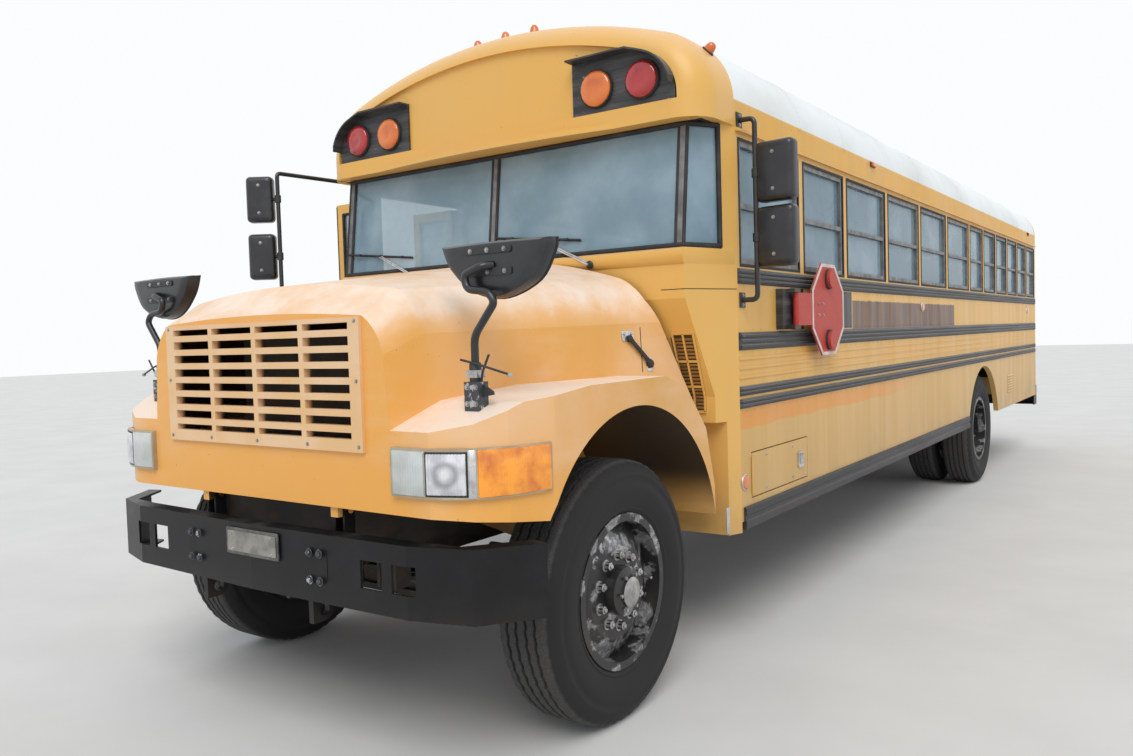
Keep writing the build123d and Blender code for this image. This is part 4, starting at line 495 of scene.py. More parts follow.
FINISHES = {maker.__name__: maker for maker in (
    side_paint, cap_paint, hood_paint, grille_plastic, roof_paint, rail_paint, bumper_paint, chassis_steel,
    wheel_steel, tyre_rubber, black_plastic, turn_lens, head_lens, skirt_paint, floor_mat, sign_red)}
FINISHES.update({
    # dulled zinc plate, aged aluminium, plated strip, cast block with its paint knocked off
    "bare_metal": plain((22.0, 5.0, 0.6), (0.55, 0.55, 0.56), (0.30, 0.29, 0.28), (0.3, 0.25), 0.85,
                        ("grain", 120.0, 2.0, 0.1, 0.0005)),
    "sash_metal": plain((14.0, 4.0), (0.24, 0.24, 0.24), (0.13, 0.13, 0.13), (0.42, 0.15), 0.5,
                        ("grain", 90.0, 2.0, 0.08, 0.0005), (0.3, 0.75)),
    "bright_trim": plain((24.0, 5.0, 0.6), (0.74, 0.75, 0.76), (0.48, 0.48, 0.47), (0.22, 0.2), 0.9,
                         ("grain", 140.0, 2.0, 0.06, 0.0004)),
    "worn_block": plain((38.0, 5.0, 0.65), (0.045, 0.052, 0.062), (0.50, 0.50, 0.50), 0.45, (0.0, 0.6),
                        ("grain", 60.0, 4.0, 0.25, 0.001), (0.54, 0.60)),
    "exhaust_steel": plain((5.0, 6.0, 0.65), (0.20, 0.10, 0.055), (0.10, 0.085, 0.075), 0.7, 0.3,
                           ("grain", 50.0, 4.0, 0.3, 0.001), (0.35, 0.7)),
    # dark rubber, enamel, vinyl and cloth
    "black_rubber": plain((9.0, 5.0), (0.016, 0.016, 0.017), (0.07, 0.066, 0.06), 0.7, 0.0,
                          ("grain", 150.0, 2.0, 0.2, 0.0008), (0.4, 0.8), 0.5),
    "gloss_black": plain((10.0, 4.0), (0.010, 0.011, 0.014), (0.055, 0.058, 0.066), (0.28, 0.2), 0.0,
                         ("peel", 0.1), (0.35, 0.8), 0.35, Coat_Weight=0.3, Coat_Roughness=0.15),
    "seat_vinyl": plain((2.5, 4.0), (0.045, 0.032, 0.026), (0.075, 0.05, 0.038), (0.45, 0.1), 0.0,
                        ("pores", 520.0, 0.25, 0.0006)),
    "driver_cloth": plain((4.0, 4.0), (0.07, 0.075, 0.085), (0.11, 0.115, 0.125), 0.85, 0.0,
                          ("pores", 700.0, 0.3, 0.0006)),
    # glass, lenses and the lamp's case
    "tinted_glass": plain((3.0, 5.0), (0.15, 0.22, 0.28), (0.34, 0.42, 0.50), (0.03, 0.07),
                          fade=(0.35, 0.75), share=0.5, Alpha=(0.52, 0.1)),
    # windshield: pale blue-grey body colour, a dusty film with a painted reflection of the sky
    "screen_glass": plain((2.4, 5.0), (0.24, 0.38, 0.47), (0.46, 0.60, 0.70), (0.03, 0.08),
                          fade=(0.35, 0.75), share=0.6, Alpha=(0.58, 0.1)),
    "mirror_glass": plain((7.0, 4.0), (0.72, 0.75, 0.77), (0.55, 0.56, 0.55), (0.04, 0.1), 1.0,
                          fade=(0.4, 0.8)),
    "amber_lens": signal_lens((0.80, 0.20, 0.02), (0.62, 0.12, 0.01)),
    "red_lens": signal_lens((0.50, 0.018, 0.022), (0.34, 0.008, 0.012)),
    "clear_lens": plain((9.0, 4.0), (0.62, 0.66, 0.66), (0.48, 0.50, 0.47), (0.1, 0.1), 0.15,
                        ("ribs", "X", 26.0, 0.45, 0.002), Coat_Weight=1.0, Coat_Roughness=0.05),
    "lamp_frame": plain((9.0, 4.0), (0.52, 0.47, 0.36), (0.40, 0.33, 0.22), 0.4, 0.3, ("peel", 0.1)),
    # the cowl's slats in yellow darkened by painted shade and a near-black painted-shade sheet behind them, the blank
    # plates and the sign's border
    "vent_paint_shaded": plain((14.0, 4.0), (0.46, 0.25, 0.06), (0.28, 0.14, 0.035), 0.6, 0.0, ("peel", 0.1)),
    "vent_painted_shade": plain((14.0, 4.0), (0.045, 0.028, 0.012), (0.09, 0.05, 0.018), 0.8),
    "plate_face": plain((16.0, 5.0), (0.34, 0.33, 0.30), (0.20, 0.19, 0.17), 0.45, 0.3, ("peel", 0.2)),
    "blank_plate": plain((20.0, 5.0), (0.10, 0.10, 0.10), (0.20, 0.19, 0.175), 0.5, 0.6, ("peel", 0.2)),
    "sign_white": plain((14.0, 5.0), (0.74, 0.67, 0.62), (0.60, 0.48, 0.44), 0.5, 0.0, ("peel", 0.1)),
})


# Meshes

class Shape:
    """A mesh under construction: points, faces and the finish of each face."""

    def __init__(self):
        self.points = []
        self.faces = []
        self.tags = []
        self.finishes = []

    def add(self, points, faces, name):
        if name not in self.finishes:
            self.finishes.append(name)
        tag = self.finishes.index(name)
        start = len(self.points)
        self.points += [tuple(p) for p in points]
        for face in faces:
            self.faces.append(tuple(start + i for i in face))
            self.tags.append(tag)

    def box(self, low, high, name):
        x, y, z = zip([min(a, b) for a, b in zip(low, high)], [max(a, b) for a, b in zip(low, high)])
        points = [(x[i], y[j], z[k]) for i in (0, 1) for j in (0, 1) for k in (0, 1)]
        faces = [(0, 1, 3, 2), (4, 6, 7, 5), (0, 4, 5, 1), (2, 3, 7, 6), (0, 2, 6, 4), (1, 5, 7, 3)]
        self.add(points, faces, name)

    def grid(self, rows, name, wrap=False, close=False):
        """Quads over rows of points; wrap joins each row's ends, close joins the last row to the first."""
        across, count = len(rows[0]), len(rows)
        points = [p for row in rows for p in row]
        faces = []
        for i in range(count if close else count - 1):
            for j in range(across if wrap else across - 1):
                a, b = i * across + j, i * across + (j + 1) % across
                c, d = ((i + 1) % count) * across + (j + 1) % across, ((i + 1) % count) * across + j
                faces.append((a, b, c, d))
        self.add(points, faces, name)

    def prism(self, outline, push, name):
        """A flat outline pushed along a vector."""
        count = len(outline)
        base = [Vector(p) for p in outline]
        points = base + [p + Vector(push) for p in base]
        faces = [tuple(range(count))[::-1], tuple(range(count, 2 * count))]
        faces += [(i, (i + 1) % count, count + (i + 1) % count, count + i) for i in range(count)]
        self.add(points, faces, name)

    def lathe(self, profile, centre, axis, name, steps=32):
        """(radius, along) points turned about an axis through a centre."""
        axis = Vector(axis).normalized()
        side = axis.orthogonal().normalized()
        other = axis.cross(side)
        centre = Vector(centre)
        rows = []
        for i in range(steps):
            angle = tau * i / steps
            out = side * cos(angle) + other * sin(angle)
            rows.append([centre + out * r + axis * along for r, along in profile])
        self.grid(rows, name, close=True)

    def tube(self, path, radius, name, steps=12):
        """A round bar along points, with flat ends."""
        points = [Vector(p) for p in path]
        rows = []
        side = None
        for i, point in enumerate(points):
            before, after = points[max(i - 1, 0)], points[min(i + 1, len(points) - 1)]
            along = (after - before).normalized()
            if side is None:
                side = along.orthogonal().normalized()
            side = (side - along * side.dot(along)).normalized()
            other = along.cross(side)
            rows.append([point + (side * cos(tau * j / steps) + other * sin(tau * j / steps)) * radius
                         for j in range(steps)])
        self.grid(rows, name, wrap=True)
        self.add(rows[0], [tuple(range(steps))], name)
        self.add(rows[-1], [tuple(range(steps))[::-1]], name)

    def hoop(self, x0, x1, y, z0, z1, radius, name):
        """Four bars round an opening that faces along Y."""
        ring = [(x0, z0), (x1, z0), (x1, z1), (x0, z1)]
        for (a, b), (c, d) in zip(ring, ring[1:] + ring[:1]):
            self.tube([(a, y, b), (c, y, d)], radius, name, 8)

    def loft(self, rows, name, caps=True):
        """Closed outlines joined in order, with flat ends."""
        self.grid(rows, name, wrap=True)
        if caps:
            self.add(rows[0], [tuple(range(len(rows[0])))[::-1]], name)
            self.add(rows[-1], [tuple(range(len(rows[-1])))], name)

    def slab(self, place, half_a, half_b, radius, span, name):
        """A plate with round corners; place turns (push, a, b) into a point."""
        self.loft([[place(push, a, b) for a, b in rounded(half_a, half_b, radius)] for push in span], name)

    def dome(self, spot, axis, radius, height, name, steps=28):
        """A moulded lens or cap standing on a spot."""
        profile = [(radius, 0.0), (radius, height * 0.30), (radius * 0.97, height * 0.48),
                   (radius * 0.88, height * 0.70), (radius * 0.70, height * 0.87), (radius * 0.42, height * 0.96),
                   (0.0, height)]
        self.lathe(profile, spot, axis, name, steps)

    def marker(self, spot, lean, height, name):
        """A bell-shaped marker lamp on a black foot."""
        self.lathe([(0.0, -0.012), (0.031, -0.012), (0.031, 0.004), (0.028, 0.007), (0.024, 0.007)], spot, lean,
                   "black_rubber", 24)
        self.lathe([(0.0255, 0.004), (0.0255, height * 0.30), (0.0235, height * 0.55), (0.0185, height * 0.82),
                    (0.0105, height * 0.97), (0.0, height)], spot, lean, name, 24)

    def bolt(self, spot, axis, radius, name, height=None):
        """A hexagon head on a washer."""
        high = height or radius * 0.9
        self.lathe([(radius * 1.5, 0.0), (radius * 1.5, high * 0.22), (radius * 1.08, high * 0.24)], spot, axis,
                   name, 14)
        self.lathe([(radius, high * 0.2), (radius, high * 0.9), (radius * 0.8, high), (0.0, high)], spot, axis,
                   name, 6)

    def pad(self, low, high, name, round_off, lean=0.0):
        """A stuffed block between two corners, leaning back by an amount at its top."""
        around, along = 28, 16
        low, high = Vector(low), Vector(high)
        middle_point, half = (low + high) / 2, (high - low) / 2

        def bulge(value):
            return abs(value) ** round_off * (1 if value >= 0 else -1)

        rows = []
        for i in range(along + 1):
            tilt = -pi / 2 + pi * i / along
            row = []
            for j in range(around):
                turn = tau * j / around
                x, reach = bulge(sin(tilt)), bulge(cos(tilt))
                y, z = reach * bulge(cos(turn)), reach * bulge(sin(turn))
                spot = middle_point + Vector((x * half.x, y * half.y, z * half.z))
                spot.y += lean * (spot.z - low.z) / (high.z - low.z)
                row.append(spot)
            rows.append(row)
        self.grid(rows, name, wrap=True)

    def rivets(self, spots, normal, radius, name, height=0.0022):
        """A low dome at each spot, facing along a normal."""
        normal = Vector(normal).normalized()
        side = normal.orthogonal().normalized()
        other = normal.cross(side)
        ring = 6
        for spot in spots:
            base = Vector(spot)
            points = []
            for share, rise in ((1.0, 0.0), (0.7, 0.75)):
                points += [base + (side * cos(tau * k / ring) + other * sin(tau * k / ring)) * radius * share
                           + normal * height * rise for k in range(ring)]
            points.append(base + normal * height)
            faces = [(k, (k + 1) % ring, ring + (k + 1) % ring, ring + k) for k in range(ring)]
            faces += [(ring + k, ring + (k + 1) % ring, 2 * ring) for k in range(ring)]
            self.add(points, faces, name)

    def build(self, name, body, slot, bevel=0.0, sharp=38.0, replaces=()):
        """Turns the shape into an object that rides on a body."""
        mesh = bpy.data.meshes.new(name)
        mesh.from_pydata(self.points, [], self.faces)
        for label in self.finishes:
            mesh.materials.append(finish(label))
        mesh.polygons.foreach_set("material_index", self.tags)
        welded = bmesh.new()
        welded.from_mesh(mesh)
        bmesh.ops.remove_doubles(welded, verts=welded.verts, dist=0.00002)
        bmesh.ops.recalc_face_normals(welded, faces=welded.faces)
        welded.to_mesh(mesh)
        welded.free()
        mesh.validate()
        mesh.shade_smooth()
        mesh.set_sharp_from_angle(angle=radians(sharp))
        piece = bpy.data.objects.new(name, mesh)
        bpy.context.scene.collection.objects.link(piece)
        if bevel:
            soften = piece.modifiers.new("soft_edges", "BEVEL")
            soften.width = bevel
            soften.segments = 2
            soften.limit_method = "ANGLE"
            soften.angle_limit = radians(50)
            soften.use_clamp_overlap = True
        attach(piece, body)
        if replaces:
            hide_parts(*replaces)
        return piece


def arc_path(points, bend, steps=6):
    """A path of straight runs with rounded corners."""
    points = [Vector(p) for p in points]
    path = [points[0]]
    for before, corner, after in zip(points, points[1:], points[2:]):
        reach = min(bend, (corner - before).length * 0.45, (after - corner).length * 0.45)
        start = corner + (before - corner).normalized() * reach
        end = corner + (after - corner).normalized() * reach
        for i in range(steps + 1):
            t = i / steps
            path.append(start * (1 - t) ** 2 + corner * 2 * t * (1 - t) + end * t ** 2)
    path.append(points[-1])
    return path


def bay_windows():
    """(start, end) of each side window, rearwards from the front axle."""
    y = BODY_FRONT
    places = []
    for width in BAYS:
        places.append((y + PILLAR / 2, y + width - PILLAR / 2))
        y += width
    return places


def crown_arc():
    """Radius and centre height of the roof's crown."""
    shoulder_x, rise = SIDE_X - SHOULDER_R, ROOF_TOP - SHOULDER_Z
    radius = (shoulder_x ** 2 + rise ** 2 - SHOULDER_R ** 2) / (2 * (rise - SHOULDER_R))
    return radius, ROOF_TOP - radius


def roof_section(offset, steps=10):
    """(x, z) points over the roof from the left side to the right, standing off by an offset."""
    shoulder_x = SIDE_X - SHOULDER_R
    crown_r, centre_z = crown_arc()
    angle = atan2(SHOULDER_Z - centre_z, shoulder_x)
    left = [(shoulder_x + (SHOULDER_R + offset) * cos(angle * i / steps),
             SHOULDER_Z + (SHOULDER_R + offset) * sin(angle * i / steps)) for i in range(steps + 1)]
    sweep = pi / 2 - angle
    crown = [((crown_r + offset) * cos(angle + sweep * i / steps),
              centre_z + (crown_r + offset) * sin(angle + sweep * i / steps)) for i in range(1, steps + 1)]
    half = left + crown
    return half + [(-x, z) for x, z in half[-2::-1]]


def rounded(half_a, half_b, radius, steps=4):
    """Closed (a, b) outline of a rectangle with round corners."""
    points = []
    for corner, (a, b) in enumerate(((1, 1), (-1, 1), (-1, -1), (1, -1))):
        for i in range(steps + 1):
            angle = pi / 2 * (corner + i / steps)
            points.append((a * (half_a - radius) + radius * cos(angle),
                           b * (half_b - radius) + radius * sin(angle)))
    return points


def smooth_line(points, steps=5):
    """An open curve through (a, b) points."""
    points = [points[0]] + list(points) + [points[-1]]
    line = []
    for p0, p1, p2, p3 in zip(points, points[1:], points[2:], points[3:]):
        for i in range(steps):
            t = i / steps
            line.append(tuple(0.5 * (2 * b + (c - a) * t + (2 * a - 5 * b + 4 * c - d) * t * t
                                     + (3 * b - a - 3 * c + d) * t ** 3)
                              for a, b, c, d in zip(p0, p1, p2, p3)))
    line.append(tuple(points[-1]))
    return line


def lamp_spot(run):
    """Place and outward direction on the headlamp's plan line, at a distance along it."""
    left = run
    for (x0, y0), (x1, y1) in zip(LAMP_LINE, LAMP_LINE[1:]):
        stretch = sqrt((x1 - x0) ** 2 + (y1 - y0) ** 2)
        if left <= stretch:
            break
        left -= stretch
    share = min(left / stretch, 1.0)
    return (x0 + (x1 - x0) * share, y0 + (y1 - y0) * share), ((y1 - y0) / stretch, -(x1 - x0) / stretch)


def lamp_patch(shape, side, start, end, low, high, lift, name, edge, base):
    """One lens along the lamp's plan line, rolled down to its base at every edge."""
    count = max(3, int((end - start) / 0.010))
    runs = [(start, 0.0), (start + edge * 0.3, 0.7)]
    runs += [(start + edge + (end - start - 2 * edge) * i / count, 1.0) for i in range(count + 1)]
    runs += [(end - edge * 0.3, 0.7), (end, 0.0)]
    heights = [(low, 0.0), (low + edge * 0.3, 0.7), (low + edge, 1.0), ((low + high) / 2, 1.0),
               (high - edge, 1.0), (high - edge * 0.3, 0.7), (high, 0.0)]
    rows = []
    for run, rise in runs:
        (x, y), (out_x, out_y) = lamp_spot(run)
        rows.append([(side * (x + out_x * (base + lift * rise * share)),
                      at(y + out_y * (base + lift * rise * share)), z) for z, share in heights])
    shape.grid(rows, name)


# Settings

def paint(name, description, default):
    return bpy.props.FloatVectorProperty(name=name, description=description, subtype="COLOR", size=3,
                                         default=default)


def length(name, description, default):
    return bpy.props.FloatProperty(name=name, description=description, subtype="DISTANCE", unit="LENGTH",
                                   default=default)


class BusColours(bpy.types.PropertyGroup):
    """Paint colours of the bus."""
    yellow: paint("Body yellow", "Sound body paint", (0.80, 0.44, 0.085))
    chalk: paint("Chalked yellow", "Body paint gone pale", (0.74, 0.47, 0.17))
    tan: paint("Skirt tan", "Dusty paint low on the body", (0.60, 0.39, 0.15))
    faded: paint("Sun-faded peach", "Paint the sun has bleached", (0.88, 0.56, 0.32))
    roof: paint("Roof white", "White roof paint", (0.88, 0.92, 0.93))
    black: paint("Trim black", "Rails and lower rail", (0.018, 0.018, 0.020))


class BusSizes(bpy.types.PropertyGroup):
    """Sizes of the added detail."""
    tread_depth: length("Tread depth", "Depth of the tyre grooves", 0.011)
    tread_steps: bpy.props.IntProperty(name="Tread steps", description="Steps round each tyre", default=240)
    rivet_pitch: length("Rivet pitch", "Distance between rivets", 0.090)
    rivet_radius: length("Rivet radius", "Radius of a rivet's head", 0.0055)
    camera_lens: bpy.props.FloatProperty(name="Lens", description="Focal length on a 36 mm wide sensor",
                                         default=28.82, subtype="DISTANCE_CAMERA", unit="CAMERA")


class BusPiece:
    """What every operator here shares."""
    bl_options = {"REGISTER", "UNDO"}

    def execute(self, context):
        self.make(context.scene.bus_sizes)
        return {"FINISHED"}


NODE_FINISHES = {
    "side_paint": "side_left side_right rear_wall hatch rear_door",
    "cap_paint": "entry_leaf_front entry_leaf_rear front_cap cowl",
    "hood_paint": "hood",
    "grille_plastic": "grille",
    "roof_paint": "roof",
    "rail_paint": "rub_rails stop_bracket lamp_pods",
    "bumper_paint": "front_bumper rear_bumper",
    "chassis_steel": "frame_rails leaf_springs front_axle rear_axle drive_shaft engine_block knuckle_left "
                     "knuckle_right fuel_tank",
    "exhaust_steel": "exhaust",
    "wheel_steel": "front_wheel_left front_wheel_right rear_wheel_left rear_wheel_right",
    "sash_metal": "window_sashes",
    "screen_glass": "body_glass",
    "tinted_glass": "rear_door_glass entry_glass_front entry_glass_rear",
    "floor_mat": "floor",
    "black_plastic": "dash mirrors crossview_mirrors",
    "sign_red": "stop_arm",
    "amber_lens": "headlamps signal_lamps",
    "seat_vinyl": "seats",
}


class BUS_OT_cad_finishes(BusPiece, bpy.types.Operator):
    """Gives every CAD node its finish"""
    bl_idname = "bus.cad_finishes"
    bl_label = "Finishes of the structure"

    def make(self, sizes):
        for label, nodes in NODE_FINISHES.items():
            for node in nodes.split():
                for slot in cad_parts[node].material_slots:
                    slot.material = finish(label)


def tyre_rows(centre, outward, sizes):
    """Rows of points round one tyre: sidewalls with rings, zigzag grooves and notched shoulders."""
    wall = [(0.292, 0.108), (0.312, 0.111), (0.322, 0.120), (0.330, 0.1235), (0.334, 0.1215),
            (0.352, 0.1275), (0.380, 0.1345), (0.405, 0.1378), (0.430, 0.1375), (0.434, 0.1355),
            (0.455, 0.1335), (0.459, 0.1355), (0.468, 0.1340), (0.484, 0.1275), (0.4985, 0.1190)]
    shoulder = [(0.508, 0.1120), (0.516, 0.1045), (0.5205, 0.0985), (0.5225, 0.0920)]
    grooves, half_groove, bevel, top = (0.0630, 0.0220, -0.0220, -0.0630), 0.0048, 0.0022, 0.5245
    depth, steps = sizes.tread_depth, sizes.tread_steps
    lips = ((half_groove + bevel, 0.0), (half_groove, depth), (-half_groove, depth), (-half_groove - bevel, 0.0))
    tread = [(top - sink, groove + offset) for groove in grooves for offset, sink in lips]
    zones = (("wall", wall), ("shoulder", shoulder), ("tread", tread),
             ("shoulder", [(r, -w) for r, w in shoulder[::-1]]), ("wall", [(r, -w) for r, w in wall[::-1]]))
    rows = []
    for i in range(steps):
        angle = tau * i / steps
        phase = i % 4
        zig = (0.0, 0.0030, 0.0, -0.0030)[phase]
        notch = 0.0035 if phase in (0, 1) else 0.0
        row = []
        for zone, profile in zones:
            for radius, across in profile:
                if zone == "tread":
                    across += zig
                elif zone == "shoulder":
                    radius -= notch * 0.6
                    across -= notch * (0.4 if across > 0 else -0.4)
                row.append((centre[0] + outward * across, centre[1] + radius * cos(angle),
                            centre[2] + radius * sin(angle)))
        rows.append(row)
    return rows


class BUS_OT_tyres(BusPiece, bpy.types.Operator):
    """Makes the six tyres with rib tread and ringed sidewalls"""
    bl_idname = "bus.tyres"
    bl_label = "Tyres"

    def make(self, sizes):
        half_width = 0.138
        for side, name in ((1, "left"), (-1, "right")):
            low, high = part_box("rear_tyres_" + name)
            pair = [(x, REAR_AXLE.y, REAR_AXLE.z) for x in (low.x + half_width, high.x - half_width)]
            for centres, piece, body, node in (
                    ([middle("front_tyre_" + name)], "front_tyre_tread_", "_front_wheel", "front_tyre_"),
                    (pair, "rear_tyre_treads_", "_rear_wheels", "rear_tyres_")):
                shape = Shape()
                for centre in centres:
                    shape.grid(tyre_rows(centre, side, sizes), "tyre_rubber", close=True)
                shape.build(piece + name, name + body, "tyre_rubber", replaces=[node + name])


def circle(centre, radius, count, shift=0.0):
    """Points spaced evenly round a centre, in the plane of a wheel."""
    turns = [tau * (i + shift) / count for i in range(count)]
    return [centre + Vector((0, radius * cos(turn), radius * sin(turn))) for turn in turns]


class BUS_OT_wheel_trim(BusPiece, bpy.types.Operator):
    """Adds bright nuts, hub caps and valves to the wheels"""
    bl_idname = "bus.wheel_trim"
    bl_label = "Wheel trim"

    def make(self, sizes):
        nut_circle, nuts = 0.1429, 10
        front_face, rear_face = 0.083, 0.013
        for side, name in ((1, "left"), (-1, "right")):
            out = (side, 0, 0)
            low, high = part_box("front_wheel_" + name)
            hub = Vector((side * abs(FRONT_AXLE.x), FRONT_AXLE.y, FRONT_AXLE.z))
            shape = Shape()
            for spot in circle(hub + Vector((side * front_face, 0, 0)), nut_circle, nuts, 0.5):
                shape.lathe([(0.0245, 0.0), (0.0245, 0.004), (0.0185, 0.005), (0.0165, 0.012),
                             (0.0162, 0.0255), (0.0120, 0.0285), (0.0, 0.0285)], spot, out, "bare_metal", 12)
                shape.lathe([(0.0095, 0.026), (0.0095, 0.033), (0.0075, 0.035), (0.0, 0.035)], spot, out,
                            "bare_metal", 10)
            cap = Vector((high.x if side > 0 else low.x, FRONT_AXLE.y, FRONT_AXLE.z))
            shape.lathe([(0.060, -0.012), (0.060, 0.0), (0.052, 0.006), (0.030, 0.010), (0.0, 0.012)], cap, out,
                        "bare_metal", 32)
            for spot in circle(cap - Vector((side * 0.006, 0, 0)), 0.072, 6):
                shape.lathe([(0.008, 0.0), (0.008, 0.007), (0.0, 0.007)], spot, out, "bare_metal", 6)
            stem = hub + Vector((side * 0.060, 0.235, 0))
            shape.tube([stem, stem + Vector((side * 0.05, -0.012, 0.0))], 0.006, "bare_metal", 8)
            shape.build("front_wheel_nuts_" + name, name + "_front_wheel", "zinc_steel")
            low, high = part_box("rear_wheel_" + name)
            disc = Vector(((low.x + high.x) / 2 + side * rear_face, REAR_AXLE.y, REAR_AXLE.z))
            rear = Shape()
            for spot in circle(disc, nut_circle, nuts, 0.5):
                rear.lathe([(0.0245, 0.0), (0.0245, 0.004), (0.0185, 0.005), (0.0162, 0.0255),
                            (0.0120, 0.0285), (0.0, 0.0285)], spot, out, "bare_metal", 12)
            rear.build("rear_wheel_nuts_" + name, name + "_rear_wheels", "zinc_steel")


class BUS_OT_body_trim(BusPiece, bpy.types.Operator):
    """Adds rivets, lap seams, drip rails and window gaskets"""
    bl_idname = "bus.body_trim"
    bl_label = "Body seams and rivets"

    def make(self, sizes):
        self.rivets(sizes.rivet_pitch, sizes.rivet_radius)
        self.laps(sizes.rivet_radius * 0.9)
        self.drip_rails()
        self.gaskets()

    def rivets(self, pitch, radius):
        shape = Shape()
        for side in (1, -1):
            start = BODY_FRONT + 0.03 if side > 0 else at(1.70)
            for z in (0.672, 1.168, 1.302, 1.442, 1.552, 1.752, 1.848, 2.448, 2.585):
                spots = []
                for i in range(int((SHELL_REAR - start) / pitch)):
                    y = start + pitch * (i + 0.5)
                    hatch = side > 0 and at(0.97) < y < at(1.74) and z < 1.0
                    arch = abs(y - (REAR_AXLE.y - 0.11)) < 0.75 and z < 1.2
                    if not hatch and not arch:
                        spots.append((side * SIDE_X, y, z))
                shape.rivets(spots, (side, 0, 0), radius, "side_paint")
        shape.build("body_rivets", "chassis", "yellow_paint")

    def laps(self, radius):
        laps = Shape()
        outer, inner, width = roof_section(0.0016), roof_section(-0.003), 0.022
        line = roof_section(0.0016, 16)
        for y in [BODY_FRONT + sum(BAYS[:k]) for k in range(1, len(BAYS))]:
            strip = ((-width, inner), (-width, outer), (width, outer), (width, inner))
            laps.grid([[(x, y + dy, z) for x, z in edge] for dy, edge in strip], "roof_paint")
            for dy in (-width * 0.6, width * 0.6):
                for before, (x, z), after in zip(line, line[1:], line[2:]):
                    out = Vector((before[1] - after[1], 0, after[0] - before[0]))
                    laps.rivets([(x, y + dy, z)], out if out.z > 0 else -out, radius, "roof_paint", 0.0016)
        laps.build("roof_laps", "chassis", "white_paint")

    def drip_rails(self):
        drip = Shape()
        gutter = [(SIDE_X - 0.002, 2.470), (SIDE_X + 0.020, 2.466), (SIDE_X + 0.022, 2.478),
                  (SIDE_X + 0.004, 2.486), (SIDE_X - 0.002, 2.486)]
        for side in (1, -1):
            drip.prism([(side * x, BODY_FRONT + 0.01, z) for x, z in gutter],
                       (0, SHELL_REAR - BODY_FRONT - 0.02, 0), "side_paint")
        drip.build("drip_rails", "chassis", "yellow_paint")

    def gaskets(self):
        gaskets = Shape()
        low, high = WINDOW_Z
        seal = 0.014
        for side in (1, -1):
            x0, x1 = side * (SIDE_X - 0.008), side * (SIDE_X + 0.003)
            for y0, y1 in bay_windows()[0 if side > 0 else 1:]:
                for a, b, c, d in ((y0 - seal, y1 + seal, low - seal, low),
                                   (y0 - seal, y1 + seal, high, high + seal),
                                   (y0 - seal, y0, low, high), (y1, y1 + seal, low, high)):
                    gaskets.box((x0, a, c), (x1, b, d), "black_rubber")
        gaskets.build("window_gaskets", "chassis", "black_plastic", bevel=0.002)


class BUS_OT_lamps(BusPiece, bpy.types.Operator):
    """Makes the warning lamps, tail lamps and markers with lenses of their own"""
    bl_idname = "bus.lamps"
    bl_label = "Signal lamps"

    def make(self, sizes):
        shape = Shape()
        for side in (1, -1):
            for x, z, label in WARNING_LAMPS:
                for y, way, share in ((at(POD_FACE), -1, 1.0), (BODY_REAR + 0.014, 1, 0.97)):
                    spot, out = (side * x * share, y, z), (0, way, 0)
                    shape.lathe([(WARNING_R, 0.0), (WARNING_R, 0.012), (0.0850, 0.016), (0.0815, 0.016),
                                 (0.0815, 0.010)], spot, out, "black_rubber", 48)
                    shape.lathe([(0.0815, 0.010), (0.0810, 0.020), (0.076, 0.026), (0.063, 0.0305),
                                 (0.047, 0.033), (0.038, 0.0335), (0.036, 0.0325), (0.021, 0.0335), (0.0, 0.034)],
                                spot, out, label, 48)
            for z, radius, label in ((1.660, 0.088, "red_lens"), (1.400, 0.088, "amber_lens"),
                                     (1.180, 0.050, "clear_lens")):
                spot = Vector((side * 1.000, BODY_REAR, z))
                shape.lathe([(radius, 0.0), (radius, 0.012), (radius - 0.004, 0.015), (radius - 0.008, 0.013)],
                            spot, (0, 1, 0), "black_rubber", 40)
                shape.dome(spot + Vector((0, 0.004, 0)), (0, 1, 0), radius - 0.006, 0.026, label, 40)
            shape.marker((side * 1.129, at(0.800), 2.827), (side * 0.725, 0, 0.689), 0.046, "amber_lens")
        crown_r, centre_z = crown_arc()
        half = 0.028
        for x in (-0.190, 0.0, 0.190):
            top = centre_z + sqrt(crown_r ** 2 - x ** 2)
            shape.marker((x, at(0.738), top - 0.002), (0, 0, 1), 0.060, "amber_lens")
            spot = Vector((x, SHELL_REAR - 0.090, centre_z + sqrt(crown_r ** 2 - (abs(x) + half) ** 2)))
            shape.box(spot + Vector((-half, -0.030, 0.0)), spot + Vector((half, 0.030, 0.010)), "black_plastic")
            shape.loft([[spot + Vector((a * share, b * share, height)) for a, b in rounded(0.026, half, 0.010)]
                        for height, share in ((0.010, 1.0), (0.024, 0.92), (0.031, 0.70), (0.034, 0.3))],
                       "red_lens")
        shape.build("signal_lamp_lenses", "chassis", "lamp_plastic", replaces=["signal_lamps"])


